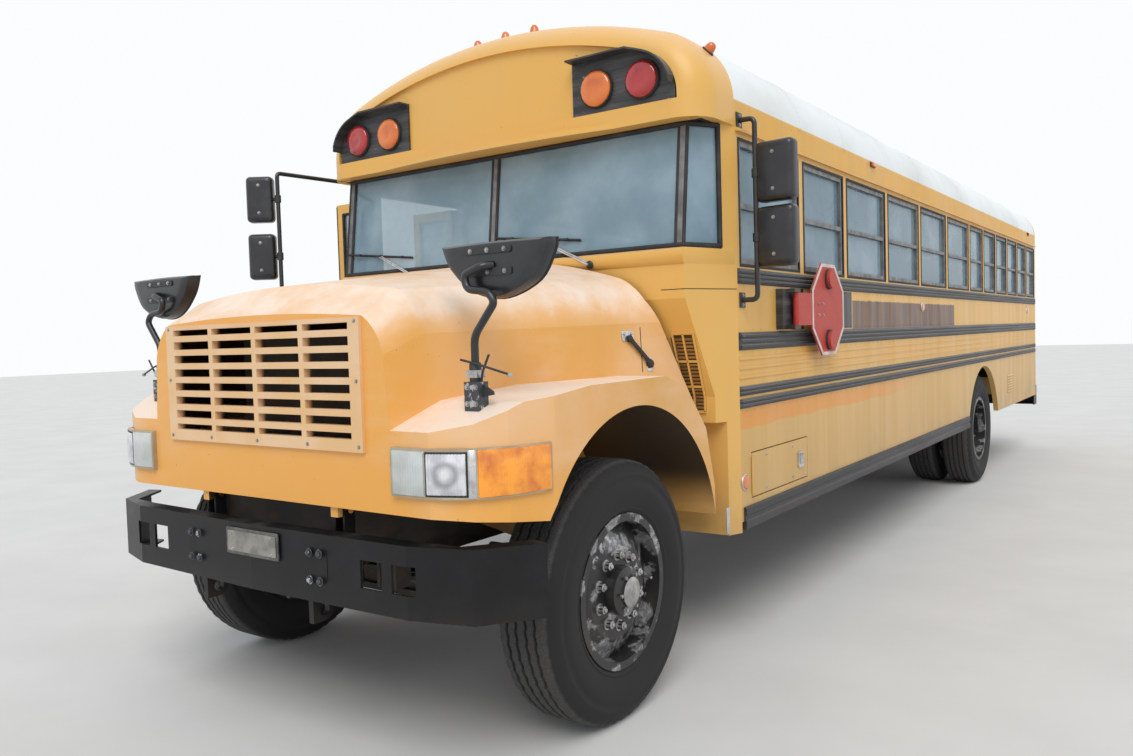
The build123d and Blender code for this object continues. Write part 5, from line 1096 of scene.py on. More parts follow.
class BUS_OT_headlamps(BusPiece, bpy.types.Operator):
    """Makes the lamp unit round each fender corner: parking lens, headlamp and turn lens"""
    bl_idname = "bus.headlamps"
    bl_label = "Headlamps"

    def make(self, sizes):
        low, high = LAMP_Z
        total, park, head, turn = 0.628, 0.159, 0.311, 0.340
        steps = 40
        frame_edge = ((-0.0175, low), (0.0, low + 0.002), (0.0, high - 0.002), (-0.0175, high))
        # start and end along the lamp, inset from its edges, lift, finish, rolled edge, base
        lenses = ((0.010, park - 0.003, 0.009, 0.0065, "clear_lens", 0.007, 0.0),
                  (park, head, 0.010, 0.0030, "black_rubber", 0.004, 0.0),
                  (park + 0.005, head - 0.005, 0.015, 0.0065, "head_lens", 0.010, 0.001),
                  (head + 0.001, turn - 0.001, 0.004, 0.0045, "bright_trim", 0.003, 0.0),
                  (turn + 0.003, total - 0.006, 0.006, 0.0085, "turn_lens", 0.011, 0.0))
        shape = Shape()
        for side in (1, -1):
            rows = []
            for i in range(steps + 1):
                (x, y), (out_x, out_y) = lamp_spot(total * i / steps)
                rows.append([(side * (x + out_x * out), at(y + out_y * out), z) for out, z in frame_edge])
            shape.loft(rows, "lamp_frame")
            for start, end, inset, lift, label, edge, base in lenses:
                lamp_patch(shape, side, start, end, low + inset, high - inset, lift, label, edge, base)
        shape.build("headlamp_units", "tilting_hood", "lamp_plastic", replaces=["headlamps"])


class BUS_OT_crossview(BusPiece, bpy.types.Operator):
    """Makes the D-shaped cross-view mirrors with bent tubes, clamps and stays"""
    bl_idname = "bus.crossview"
    bl_label = "Cross-view mirrors"

    def make(self, sizes):
        x, z, wide, rim_y, mount_x = 1.015, 1.800, 0.240, -0.589, 1.005
        post_x, post_y, back_y = 0.965, at(-0.690), -0.6535
        front = (0, -1, 0)
        curve = smooth_line([(x + wide, z + 0.074), (x + wide - 0.008, z + 0.030), (x + wide - 0.070, z - 0.062),
                             (x + 0.030, z - 0.116), (x - 0.095, z - 0.096), (x - 0.200, z - 0.008),
                             (x - wide, z + 0.074)], 5)
        top = [(x - wide + 2 * wide * i / 12, z + 0.074 + 0.004 * sin(pi * i / 12)) for i in range(1, 12)]
        outline, mid_z = curve + top, z + 0.006
        shape = Shape()
        for side in (1, -1):
            def rings(*pairs):
                """The outline shrunk by a share and set at a depth, once for each pair."""
                return [[(side * (x + (a - x) * share), at(y), mid_z + (b - mid_z) * share) for a, b in outline]
                        for share, y in pairs]

            shape.loft(rings((0.72, -0.6535), (0.86, -0.6515), (0.955, -0.643), (0.992, -0.627), (1.0, -0.605),
                             (1.0, -0.596)), "gloss_black")
            shape.loft(rings((1.0, -0.597), (1.018, -0.595), (1.018, rim_y), (0.97, rim_y + 0.001),
                             (0.965, rim_y - 0.004)), "black_rubber", caps=False)
            glass = rings((0.97, rim_y - 0.003), (0.90, rim_y + 0.008), (0.70, rim_y + 0.020),
                          (0.42, rim_y + 0.028), (0.14, rim_y + 0.031))
            shape.grid(glass, "mirror_glass", wrap=True)
            shape.add(glass[-1], [tuple(range(len(outline)))], "mirror_glass")
            way = [(side * post_x, post_y, 1.420), (side * post_x, post_y, 1.555), (side * 1.060, post_y, 1.668),
                   (side * 1.030, post_y, 1.704), (side * 0.940, post_y, 1.716), (side * 0.925, post_y, 1.764),
                   (side * 1.000, post_y, 1.790), (side * 1.025, at(-0.652), 1.795)]
            shape.tube(arc_path(way, 0.030, 8), 0.0140, "gloss_black", 14)
            # back plates with their bolts
            for height, rise in ((1.846, 0.012), (1.772, 0.014)):
                shape.slab(lambda push, a, b: (side * (x - 0.010 + a), at(back_y - push), height + b),
                           0.105, rise, 0.008, (0.0, 0.005), "black_plastic")
                for step in (-0.075, 0.0, 0.075):
                    shape.bolt((side * (mount_x + step), at(-0.6585), height), front, 0.0058, "bare_metal")
            # block on the fender, cut to its slope, with its clamp and bolts
            foot = [(at(-0.716), 1.3005), (at(-0.664), 1.3215), (at(-0.664), 1.400), (at(-0.716), 1.400)]
            shape.prism([(side * 0.933, y, height) for y, height in foot], (side * 0.064, 0, 0), "worn_block")
            shape.box((side * 0.941, at(-0.712), 1.414), (side * 0.989, at(-0.668), 1.440), "bare_metal")
            shape.lathe([(0.0, 0.0), (0.0210, 0.0), (0.0210, 0.062), (0.0170, 0.068), (0.0, 0.068)],
                        (side * post_x, post_y, 1.398), (0, 0, 1), "black_plastic", 20)
            for height in (1.325, 1.382):
                for across in (0.945, 0.985):
                    shape.bolt((side * across, at(-0.716), height), front, 0.0065, "bare_metal")
            lug = ((0.996, -0.695, 1.392), (1.036, -0.690, 1.368), (1.040, -0.690, 1.356), (0.996, -0.695, 1.348))
            shape.prism([(side * a, at(b), c) for a, b, c in lug], (0, 0.010, 0), "black_plastic")
            # two thin stays across the post
            for path in ([(0.915, -0.7085, 1.476), (0.985, -0.710, 1.462), (1.115, -0.690, 1.424)],
                         [(0.990, -0.690, 1.398), (1.004, -0.700, 1.432), (1.040, -0.706, 1.492)]):
                shape.tube(arc_path([(side * a, at(b), c) for a, b, c in path], 0.02), 0.0042, "black_plastic", 8)
            shape.lathe([(0.0, -0.008), (0.008, -0.006), (0.0095, 0.0), (0.008, 0.006), (0.0, 0.008)],
                        (side * 1.116, post_y, 1.423), (0, 0, 1), "bare_metal", 12)
        shape.build("crossview_mirror_sets", "tilting_hood", "black_plastic", replaces=["crossview_mirrors"])


class BUS_OT_mirrors(BusPiece, bpy.types.Operator):
    """Makes the outside mirrors: housings, glass, arms and clamps"""
    bl_idname = "bus.mirrors"
    bl_label = "Outside mirrors"

    def make(self, sizes):
        shape = Shape()
        left_z, right_z = (2.270, 1.975), (2.375, 2.050)
        # side, place, turn in degrees, half width and half height of each head
        heads = [(1, SIDE_X + 0.175, 0.925, z, -8.0, 0.096, 0.138) for z in left_z]
        heads += [(-1, SIDE_X + 0.198, 0.225, z, 35.0, 0.076, 0.130) for z in right_z]
        for side, x, y, z, turn, half_w, half_h in heads:
            place = Matrix.Translation((side * x, at(y), z)) @ Matrix.Rotation(radians(turn), 4, "Z")

            def rings(*pairs):
                """The head's outline drawn in by an inset and set at a depth, once for each pair."""
                return [[place @ Vector((a, depth, b)) for a, b in
                         rounded(half_w - inset, half_h - inset, max(0.024 - inset * 0.5, 0.006), 5)]
                        for inset, depth in pairs]

            shape.loft(rings((0.030, -0.032), (0.018, -0.031), (0.007, -0.024), (0.001, -0.012), (0.0, 0.0),
                             (0.0, 0.026), (0.002, 0.032), (0.010, 0.032), (0.011, 0.022)), "gloss_black")
            shape.loft(rings((0.0105, 0.021), (0.0105, 0.0245)), "mirror_glass")
            for b in (-0.6, 0.6):
                shape.bolt(place @ Vector((0, -0.032, half_h * b)), place.to_3x3() @ Vector((0, -1, 0)), 0.006,
                           "bare_metal")

        def bar(path, bend):
            shape.tube(arc_path(path, bend, 8), 0.012, "gloss_black", 14)

        def branch(start, end):
            """A stub from the bar to a head, with the clamp round the bar."""
            shape.tube([start, end], 0.010, "gloss_black", 10)
            shape.lathe([(0.0125, -0.022), (0.0175, -0.020), (0.0175, 0.020), (0.0125, 0.022)], start,
                        (0, 0, 1), "black_plastic", 16)

        wall, top, foot_z = SIDE_X + 0.0003, 2.520, 1.690
        bar_x, bar_y = SIDE_X + 0.080, at(0.915)
        bar([(wall, bar_y, top), (bar_x, bar_y, top), (bar_x, bar_y, foot_z), (wall, bar_y, foot_z)], 0.030)
        for z in left_z:
            branch((bar_x, bar_y, z), (bar_x + 0.070, bar_y + 0.006, z))
        for z in (top, foot_z):
            shape.box((SIDE_X, bar_y - 0.028, z - 0.035), (SIDE_X + 0.006, bar_y + 0.028, z + 0.035),
                      "black_plastic")
            for dz in (-0.022, 0.022):
                shape.bolt((SIDE_X + 0.006, bar_y, z + dz), (1, 0, 0), 0.006, "bare_metal")
        bar_x, bar_y = -SIDE_X - 0.105, at(0.275)
        seat = Vector((-(1.110 + 0.110 * (0.740 - 0.560) / 0.310), at(0.740), 1.790))
        out = Vector((-0.310, -0.110, 0)).normalized()
        bar([(-wall, at(0.800), top), (-wall - 0.070, at(0.800), top), (bar_x, bar_y, top), (bar_x, bar_y, 1.790),
             seat + out * 0.090, seat + out * 0.0003], 0.024)
        for z in right_z:
            branch((bar_x, bar_y, z), (bar_x - 0.070, at(0.250), z))
        shape.lathe([(0.030, 0.0), (0.030, 0.005), (0.014, 0.008)], seat, out, "black_plastic", 20)
        shape.box((-SIDE_X, at(0.775), top - 0.032), (-SIDE_X - 0.006, at(0.825), top + 0.032), "black_plastic")
        shape.build("outside_mirror_sets", "chassis", "black_plastic", replaces=["mirrors"])


class BUS_OT_screen_trim(BusPiece, bpy.types.Operator):
    """Adds the windshield's rubber, sill bead, wipers and the cowl's louvres"""
    bl_idname = "bus.screen_trim"
    bl_label = "Windshield trim"

    def make(self, sizes):
        self.rubber()
        self.sill()
        self.wipers()
        self.vents()

    def rubber(self):
        foot_y, foot_z = SCREEN_FOOT
        head_y, head_z = SCREEN_HEAD
        corner_x, corner_y = CORNER
        rubber = Shape()
        for height in (foot_z + 0.010, head_z - 0.010):
            y = foot_y + (head_y - foot_y) * (height - foot_z) / (head_z - foot_z)
            left = [(SCREEN_HALF + 0.018, at(y - 0.006), height), (corner_x - 0.004, at(corner_y - 0.006), height)]
            path = [(-x, y, z) for x, y, z in left[::-1]] + left
            rubber.tube(arc_path(path, 0.03), 0.013, "black_rubber", 10)
        for side in (1, -1):
            corner = (side * (corner_x - 0.006), at(corner_y - 0.004))
            rubber.tube([corner + (foot_z + 0.004,), corner + (head_z - 0.004,)], 0.012, "black_rubber", 10)
            for x in (SCREEN_HALF - 0.020, SCREEN_HALF + 0.020, 0.019):
                rubber.tube([(side * x, at(foot_y - 0.004), foot_z + 0.006),
                             (side * x, at(head_y - 0.004), head_z - 0.006)], 0.0085, "black_rubber", 8)
        rubber.build("windshield_rubber", "chassis", "black_plastic")

    def sill(self):
        sill = Shape()
        profile = [(0.0, 1.925), (-0.010, 1.925), (-0.022, 1.917), (-0.025, 1.900), (-0.021, 1.878),
                   (-0.007, 1.857), (0.0, 1.852)]
        sill.loft([[(x, at(0.560 + y), z) for y, z in profile] for x in (-1.112, -0.6, 0.0, 0.6, 1.112)],
                  "cap_paint")
        seam_z = 1.7407
        for side in (1, -1):
            sill.loft([[(side * x, at(base + y * 0.95), z) for y, z in profile]
                       for x, base in ((1.110, 0.560), (1.216, 0.862))], "cap_paint")
            # pressed seam under the sill
            sill.box((side * 0.990, at(0.5585), 1.739), (side * 1.1105, at(0.5605), 1.7425), "black_rubber")
            sill.tube([(side * 1.1095, at(0.5600), seam_z), (side * 1.2185, at(0.8660), seam_z)], 0.0022,
                      "black_rubber", 6)
        sill.build("windshield_sill", "chassis", "yellow_paint", bevel=0.001)

    def wipers(self):
        wipers = Shape()
        back = (0, 1, 0)
        for x in (0.622, -0.500):
            pivot = Vector((x, at(0.537), 1.880))
            wipers.lathe([(0.0, 0.026), (0.020, 0.026), (0.020, 0.0), (0.013, -0.006), (0.013, -0.016),
                          (0.0, -0.018)], pivot, back, "black_plastic", 20)
            wipers.lathe([(0.0, 0.0), (0.007, 0.0), (0.007, -0.010), (0.0, -0.012)],
                         pivot + Vector((0, -0.016, 0)), back, "bare_metal", 6)
            elbow = pivot + Vector((-0.060, -0.004, 0.030))
            tip = Vector((x - 0.330, at(0.5700), 2.030))
            for lift in (-0.005, 0.005):
                up = Vector((0, 0, lift))
                wipers.tube([pivot + Vector((0, -0.004, lift)), elbow + up, tip + up], 0.0042, "bright_trim", 8)
            rise = Vector((-1.0, 0, 0.10)).normalized()
            lean = Vector((0, 0.110, 0.994))
            blade = [tip + rise * s + Vector((0, 0.0015, 0)) for s in (-0.26, 0.26)]
            wipers.tube(blade, 0.0050, "black_rubber", 8)
            for s in (-0.17, 0.0, 0.17):
                wipers.box(tip + rise * s - Vector((0.020, 0.009, 0.005)),
                           tip + rise * s + Vector((0.020, 0.001, 0.005)), "black_plastic")
            edge = ((0.0, -0.006), (0.010, -0.008), (0.010, -0.005), (0.0, -0.002))
            wipers.loft([[p + Vector((0, dy, 0)) + lean * dz for dy, dz in edge] for p in blade], "black_rubber")
        wipers.build("wipers", "chassis", "black_plastic")

    def vents(self):
        vents = Shape()
        left, right, levels = 1.008, 1.122, (1.180, 1.250, 1.542)
        splits = (1.180, 1.296, 1.414, 1.542)
        rim, slats, pitch = 0.009, 6, 0.0165

        def skin(z, lift):
            return at(0.722 - 0.162 * max(z - 1.250, 0.0) / 0.450 - lift)

        def upright(x, profile, name):
            vents.loft([[(side * (x + a), skin(z, lift), z) for a, lift in profile] for z in levels], name)

        def bar(z, profile, ends, name):
            vents.loft([[(side * x, skin(z + h, lift), z + h) for h, lift in profile] for x in ends], name)

        for side in (1, -1):
            width = right - left
            # near-black sheet across the opening: painted shade behind the slats
            upright(left, ((0.0, 0.0), (width, 0.0), (width, 0.002), (0.0, 0.002)), "vent_painted_shade")
            for x in (left, (left + right) / 2 - rim / 2, right - rim):
                upright(x, ((0.0, 0.0), (rim, 0.0), (rim - 0.0005, 0.009), (0.0005, 0.009)), "cap_paint")
            for z in splits:
                bar(z, ((-0.006, 0.0), (0.006, 0.0), (0.0055, 0.009), (-0.0055, 0.009)), (left, right), "cap_paint")
            # slats in yellow darkened by painted shade
            for base in splits[:-1]:
                for k in range(slats):
                    bar(base + 0.013 + k * pitch, ((0.0, 0.0015), (0.009, 0.008), (0.0105, 0.0075), (0.0015, 0.0010)),
                        (left + rim, right - rim), "vent_paint_shaded")
        vents.build("cowl_vents", "chassis", "yellow_paint")


def on_skin(side, spot, normal):
    """Frame of a place on a sloping surface: its X leaves the surface, its Z climbs it."""
    out = Vector(normal).normalized()
    run = Vector((0, 0, 1)).cross(out).normalized()
    turn = Matrix((out, run, out.cross(run))).transposed().to_4x4()
    return Matrix.Diagonal((side, 1, 1, 1)) @ Matrix.Translation(spot) @ turn


class BUS_OT_hood_trim(BusPiece, bpy.types.Operator):
    """Adds the hood's latches, rear joint and grille screws"""
    bl_idname = "bus.hood_trim"
    bl_label = "Hood trim"

    def make(self, sizes):
        shape = Shape()
        for side in (1, -1):
            head = on_skin(side, (0.940, at(0.340), 1.539), (0.970, -0.190, 0.150))
            foot = on_skin(side, (0.981, at(0.452), 1.412), (0.970, -0.205, 0.150))
            out = head.to_3x3() @ Vector((1, 0, 0))
            shape.slab(lambda *local: head @ Vector(local), 0.036, 0.022, 0.006, (-0.003, 0.005), "bright_trim")
            for dy in (-0.022, 0.022):
                shape.bolt(head @ Vector((0.005, dy, 0.008)), out, 0.0055, "bare_metal")
            # rubber strap, waisted between its two ends
            ends = [head @ Vector((0.013, 0.004, -0.014)), foot @ Vector((0.014, 0, 0))]
            wide = (ends[1] - ends[0]).normalized().cross(out).normalized()
            section = ((-1, -0.004), (1, -0.004), (1, 0.004), (-1, 0.004))
            shape.loft([[ends[0].lerp(ends[1], share) + wide * a * half + out * b for a, b in section]
                        for share, half in ((0.0, 0.014), (0.15, 0.009), (0.8, 0.009), (1.0, 0.017))],
                       "black_rubber")
            shape.lathe([(0.016, 0.0), (0.016, 0.012), (0.010, 0.016), (0.0, 0.016)],
                        head @ Vector((0.004, 0.004, -0.014)), out, "black_rubber", 14)
            shape.lathe([(0.019, 0.0), (0.019, 0.016), (0.012, 0.024), (0.0, 0.024)],
                        foot @ Vector((-0.003, 0, 0)), out, "black_rubber", 16)
            shape.slab(lambda *local: foot @ Vector(local), 0.016, 0.032, 0.006, (-0.003, 0.004), "bright_trim")
            joint = [(0.9005, 0.506, 1.716), (0.9520, 0.430, 1.571), (0.9690, 0.411, 1.431), (0.9755, 0.404, 1.378)]
            shape.tube([(side * a, at(b), c) for a, b, c in joint], 0.0026, "black_rubber", 8)
        shape.build("hood_latches", "tilting_hood", "black_plastic", bevel=0.0012)
        screws = Shape()
        low = 1.178
        spots = [(side * 0.577, z) for side in (1, -1) for z in (low, 1.410, 1.622)]
        for x, z in spots + [(x, low) for x in (-0.3, 0.0, 0.3)]:
            screws.bolt((x, HOOD_FRONT - 0.014, z), (0, -1, 0), 0.005, "bare_metal")
        screws.build("grille_screws", "tilting_hood", "zinc_steel")


class BUS_OT_stop_arm(BusPiece, bpy.types.Operator):
    """Adds the stop arm's border, lamps and hardware; its faces stay blank"""
    bl_idname = "bus.stop_arm"
    bl_label = "Stop arm faces"

    def make(self, sizes):
        x, y, z = STOP_MID
        shape = Shape()
        reach, inner = 0.2500 / cos(pi / 8), 0.2310 / cos(pi / 8)
        turns = [pi / 8 + k * pi / 4 for k in range(8)]
        for way in (1, -1):
            face, out = x + way * 0.0041, (way, 0, 0)
            shape.grid([[(face + way * lift, at(y) + radius * cos(turn), z + radius * sin(turn)) for turn in turns]
                        for radius, lift in ((reach * 0.996, 0.0), (reach * 0.994, 0.0016), (inner, 0.0016),
                                             (inner * 0.998, 0.0))], "sign_white", wrap=True)
            for dz in (0.166, -0.166):
                spot = Vector((face, at(y), z + dz))
                shape.lathe([(0.056, 0.0), (0.056, 0.010), (0.052, 0.014), (0.048, 0.012)], spot, out,
                            "black_rubber", 28)
                shape.dome(spot + Vector((way * 0.004, 0, 0)), out, 0.050, 0.020, "red_lens", 28)
            for dy in (-0.150, -0.085):
                for dz in (0.03, -0.03):
                    shape.bolt((face, at(y + dy), z + dz), out, 0.006, "bare_metal")
        shape.build("stop_arm_trim", "stop_sign", "sign_red")


class BUS_OT_bumper_trim(BusPiece, bpy.types.Operator):
    """Adds the bumpers' bolts and blank plates in their holders"""
    bl_idname = "bus.bumper_trim"
    bl_label = "Bumper trim"

    def make(self, sizes):
        def holder(shape, middle_x, face, way, middle_z, half_h, rim):
            def place(push, a, b):
                return middle_x + a, face + way * push, middle_z + b

            half_w = 0.160
            shape.slab(place, half_w, half_h, 0.008, (0.0, 0.006), "blank_plate")
            shape.slab(place, half_w - rim, half_h - rim, 0.006, (0.006, 0.009), "plate_face")

        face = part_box("front_bumper")[0].y
        front = Shape()
        for x in (0.400, -0.400, 0.345, -0.345):
            for z in (0.690, 0.790):
                front.bolt((x, face + 0.001, z), (0, -1, 0), 0.011, "worn_block", 0.010)
        x, z = 0.0145, 0.788
        holder(front, x, face, -1, z, 0.052, 0.012)
        for dx in (-0.12, 0.12):
            for dz in (-0.032, 0.032):
                front.bolt((x + dx, face - 0.009, z + dz), (0, -1, 0), 0.004, "bare_metal")
        front.build("front_bumper_trim", "chassis", "black_paint", bevel=0.0008)
        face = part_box("rear_bumper")[1].y
        rear = Shape()
        for x in (-0.42, 0.42, -1.05, 1.05):
            for z in (0.58, 0.70):
                rear.bolt((x, face - 0.001, z), (0, 1, 0), 0.011, "worn_block", 0.010)
        holder(rear, -0.78, face, 1, 0.640, 0.080, 0.010)
        rear.build("rear_bumper_trim", "chassis", "black_paint", bevel=0.0008)


class BUS_OT_seats(BusPiece, bpy.types.Operator):
    """Makes the padded benches, their frames and the driver's seat"""
    bl_idname = "bus.seats"
    bl_label = "Seats"

    def make(self, sizes):
        floor_z, wall = 1.120, SIDE_X - 0.045 - 0.012
        low, top, width, depth = floor_z + 0.320, floor_z + 0.430, 0.960, 0.380
        back_top, lean, thick = floor_z + 1.000, 0.090, 0.090
        cushions, backs, frames = Shape(), Shape(), Shape()
        for row in range(10):
            y = at(2.420 + row * 0.690)
            for side in (1, -1):
                x0, x1 = sorted((side * wall, side * (wall - width)))
                cushions.pad((x0, y, low), (x1, y + depth + 0.030, top + 0.012), "seat_vinyl", 0.34)
                backs.pad((x0, y + depth, low + 0.03), (x1, y + depth + thick, back_top), "seat_vinyl", 0.34, lean)
                leg_x = side * (wall - width + 0.060) + side * 0.015
                for leg_y in (y + 0.060, y + depth - 0.060):
                    foot = Vector((leg_x, leg_y + 0.015, floor_z))
                    frames.tube([foot, foot + Vector((0, 0, low - floor_z))], 0.014, "black_plastic", 10)
                    frames.box(foot + Vector((-0.035, -0.022, 0)), foot + Vector((0.035, 0.022, 0.005)),
                               "black_plastic")
                frames.tube([(leg_x, y + 0.075, low - 0.014), (leg_x, y + depth - 0.045, low - 0.014)], 0.012,
                            "black_plastic", 8)
                frames.box((side * (wall - 0.040), y + 0.040, low - 0.030), (side * (wall + 0.012), y + depth, low),
                           "black_plastic")
                frames.box((x0 + 0.02, y + 0.02, low - 0.012), (x1 - 0.02, y + depth - 0.01, low + 0.010),
                           "black_plastic")
        driver = Vector((0.600, at(1.420), floor_z))
        for shape, near, far, lean in ((cushions, (-0.240, 0.0, 0.430), (0.240, 0.420, 0.540), 0.0),
                                       (backs, (-0.230, 0.410, 0.440), (0.230, 0.510, 1.120), 0.080)):
            shape.pad(driver + Vector(near), driver + Vector(far), "driver_cloth", 0.36, lean)
        frames.lathe([(0.0, 0.0), (0.120, 0.0), (0.115, 0.02), (0.070, 0.06), (0.060, 0.20), (0.080, 0.33),
                      (0.150, 0.40), (0.150, 0.425), (0.0, 0.425)], driver + Vector((0, 0.230, 0)), (0, 0, 1),
                     "black_plastic", 24)
        for near, far in (((-0.200, 0.030, 0.400), (0.200, 0.420, 0.445)),
                          ((-0.020, 0.400, 0.410), (0.020, 0.470, 0.560))):
            frames.box(driver + Vector(near), driver + Vector(far), "black_plastic")
        first = cushions.build("seat_cushions", "chassis", "seat_vinyl", sharp=70.0, replaces=["seats"])
        second = backs.build("seat_backs", "chassis", "seat_vinyl", sharp=70.0)
        frames.build("seat_frames", "chassis", "frame_steel", bevel=0.001)


class BUS_OT_side_trim(BusPiece, bpy.types.Operator):
    """Makes the ribbed rub rails and adds reflectors, side markers and latches"""
    bl_idname = "bus.side_trim"
    bl_label = "Side trim"

    def make(self, sizes):
        self.rails()
        self.markers()
        self.latch()

    def rails(self):
        rails = Shape()
        foot, head, deep, waist = 0.612, 0.716, RAIL_DEPTH, 0.009
        arch_front = REAR_AXLE.y - 0.110 - sqrt(0.720 ** 2 - 0.230 ** 2) - 0.020
        skirt = [(-0.045, foot), (0.008, foot), (deep, foot + 0.006), (deep, foot + 0.036), (waist, foot + 0.044),
                 (waist, head - 0.044), (deep, head - 0.036), (deep, head - 0.006), (0.008, head), (0.0003, head),
                 (0.0003, 0.6497), (-0.045, 0.6497)]
        for side in (1, -1):
            start = BODY_FRONT if side > 0 else at(1.705)
            ends = ((start, 0.0), (start + 0.012, 1.0), (SHELL_REAR - 0.012, 1.0), (SHELL_REAR, 0.0))
            for low, high in RAIL_BANDS:
                height = high - low
                ridges = 3 if height > 0.05 else 2
                profile = [(0.0, low), (0.006, low + 0.002), (waist, low + 0.006)]
                step = (height - 0.012) / ridges
                for k in range(ridges):
                    base = low + 0.006 + k * step
                    profile += [(waist, base + step * 0.12), (deep, base + step * 0.30),
                                (deep, base + step * 0.70), (waist, base + step * 0.88)]
                profile += [(waist, high - 0.006), (0.006, high - 0.002), (0.0, high)]
                rails.loft([[(side * (SIDE_X + max(d * share, 0.0003)), y, z) for d, z in profile]
                            for y, share in ends], "rail_paint")
            begin = at(0.890) if side > 0 else start
            rails.loft([[(side * (SIDE_X + d), y, z) for d, z in skirt] for y in (begin, arch_front)],
                       "skirt_paint")
        rails.build("rub_rail_strips", "chassis", "black_paint", sharp=25.0, replaces=["rub_rails"])

    def markers(self):
        small = Shape()
        radius = 0.034
        for side, first_y in ((1, 0.905), (-1, 1.900)):
            for y, z, label in ((first_y, 0.835, "amber_lens"), (4.150, 1.690, "amber_lens"),
                                (8.900, 1.690, "red_lens")):
                spot = (side * SIDE_X, at(y), z)
                small.lathe([(radius + 0.006, 0.0), (radius + 0.006, 0.005), (radius, 0.008)], spot,
                            (side, 0, 0), "bright_trim", 24)
                small.lathe([(radius, 0.006), (radius * 0.9, 0.011), (0.0, 0.0125)], spot, (side, 0, 0), label, 24)
        for side in (1, -1):
            for y, label in ((2.95, "amber_lens"), (8.98, "red_lens")):
                spot = Vector((side * SIDE_X, at(y), 2.590))
                for near, far, name in (((0, -0.045, -0.016), (side * 0.008, 0.045, 0.016), "black_plastic"),
                                        ((side * 0.006, -0.038, -0.011), (side * 0.022, 0.038, 0.011), label)):
                    small.box(spot + Vector(near), spot + Vector(far), name)
        # louvred vent behind the rear wheel
        for k in range(7):
            z = 0.800 + k * 0.028
            small.prism([(SIDE_X, at(7.62), z), (SIDE_X + 0.010, at(7.62), z + 0.006),
                         (SIDE_X, at(7.62), z + 0.020)], (0, 0.300, 0), "side_paint")
        small.box((SIDE_X, at(0.700), 0.625), (SIDE_X + 0.004, at(0.730), 0.745), "bright_trim")
        small.build("side_markers", "chassis", "lamp_plastic", bevel=0.0015)

    def latch(self):
        latch = Shape()
        spot = Vector((SIDE_X + 0.010, at(1.6025), 0.855))
        latch.slab(lambda *local: spot + Vector(local), 0.030, 0.042, 0.008, (-0.010, 0.002), "bright_trim")
        latch.slab(lambda push, a, b: spot + Vector((push, a, b + 0.004)), 0.018, 0.028, 0.006, (0.002, 0.006),
                   "bare_metal")
        for dy in (0.18, 0.52):
            for z in (0.775, 0.935):
                latch.bolt((SIDE_X, at(0.985 + dy), z), (1, 0, 0), 0.005, "bare_metal")
        latch.build("compartment_latch", "battery_door", "zinc_steel", bevel=0.001)


class BUS_OT_door_trim(BusPiece, bpy.types.Operator):
    """Adds seals and bars to the entrance leaves, and seals, rivets and a lever boss at the rear"""
    bl_idname = "bus.door_trim"
    bl_label = "Door trim"

    def make(self, sizes):
        self.entry()
        self.rear_door()
        self.rear_wall()

    def entry(self):
        for part in ("front", "rear"):
            low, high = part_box("entry_leaf_" + part)
            y = (low.y + high.y) / 2
            shape = Shape()
            shape.box((low.x - 0.0012, y - 0.011, low.z + 0.01), (low.x + 0.006, y + 0.011, high.z - 0.01),
                      "black_rubber")
            for z0, z1 in ((0.560, 1.240), (1.310, 2.370)):
                shape.hoop(low.x + 0.052, high.x - 0.072, y, z0, z1, 0.011, "black_rubber")
            x0, x1 = low.x + 0.10, high.x - 0.12
            bar = [(x0, y + 0.017, 1.265), (x0, y + 0.045, 1.275), (x1, y + 0.045, 1.275), (x1, y + 0.017, 1.265)]
            shape.tube(arc_path(bar, 0.02), 0.009, "bright_trim", 8)
            shape.build("entry_trim_" + part, part + "_leaf", "black_plastic")

    def rear_door(self):
        face = BODY_REAR + 0.006
        shape = Shape()
        for z0, z1 in ((1.300, 1.740), (1.860, 2.360)):
            shape.hoop(-0.250, 0.250, face - 0.004, z0, z1, 0.011, "black_rubber")
        shape.rivets([(x, face, z) for z in (1.165, 1.270, 1.780, 2.405)
                      for x in (-0.27, -0.18, -0.09, 0.0, 0.09, 0.18, 0.27)], (0, 1, 0), 0.0055, "side_paint")
        shape.lathe([(0.030, 0.0), (0.030, 0.006), (0.020, 0.012), (0.0, 0.012)], (0.275, face, 1.515), (0, 1, 0),
                    "bare_metal", 20)
        shape.build("rear_door_trim", "emergency_door", "black_plastic")

    def rear_wall(self):
        wall = Shape()
        for side in (1, -1):
            wall.hoop(side * 0.470, side * 1.090, BODY_REAR, *WINDOW_Z, 0.012, "black_rubber")
        wall.rivets([(side * (0.42 + 0.09 * k), BODY_REAR, z) for side in (1, -1) for z in (0.70, 1.10, 1.82, 2.47)
                     for k in range(9)], (0, 1, 0), 0.0055, "side_paint")
        strip = ((0.0, 0.0), (0.014, 0.008), (0.014, 0.062), (0.0, 0.070))
        for z in (1.765, 1.455, 1.181):
            for side in (1, -1):
                wall.loft([[(side * x, BODY_REAR + d, z + h) for d, h in strip] for x in (0.36, 0.86)],
                          "rail_paint")
        wall.build("rear_wall_trim", "chassis", "yellow_paint")


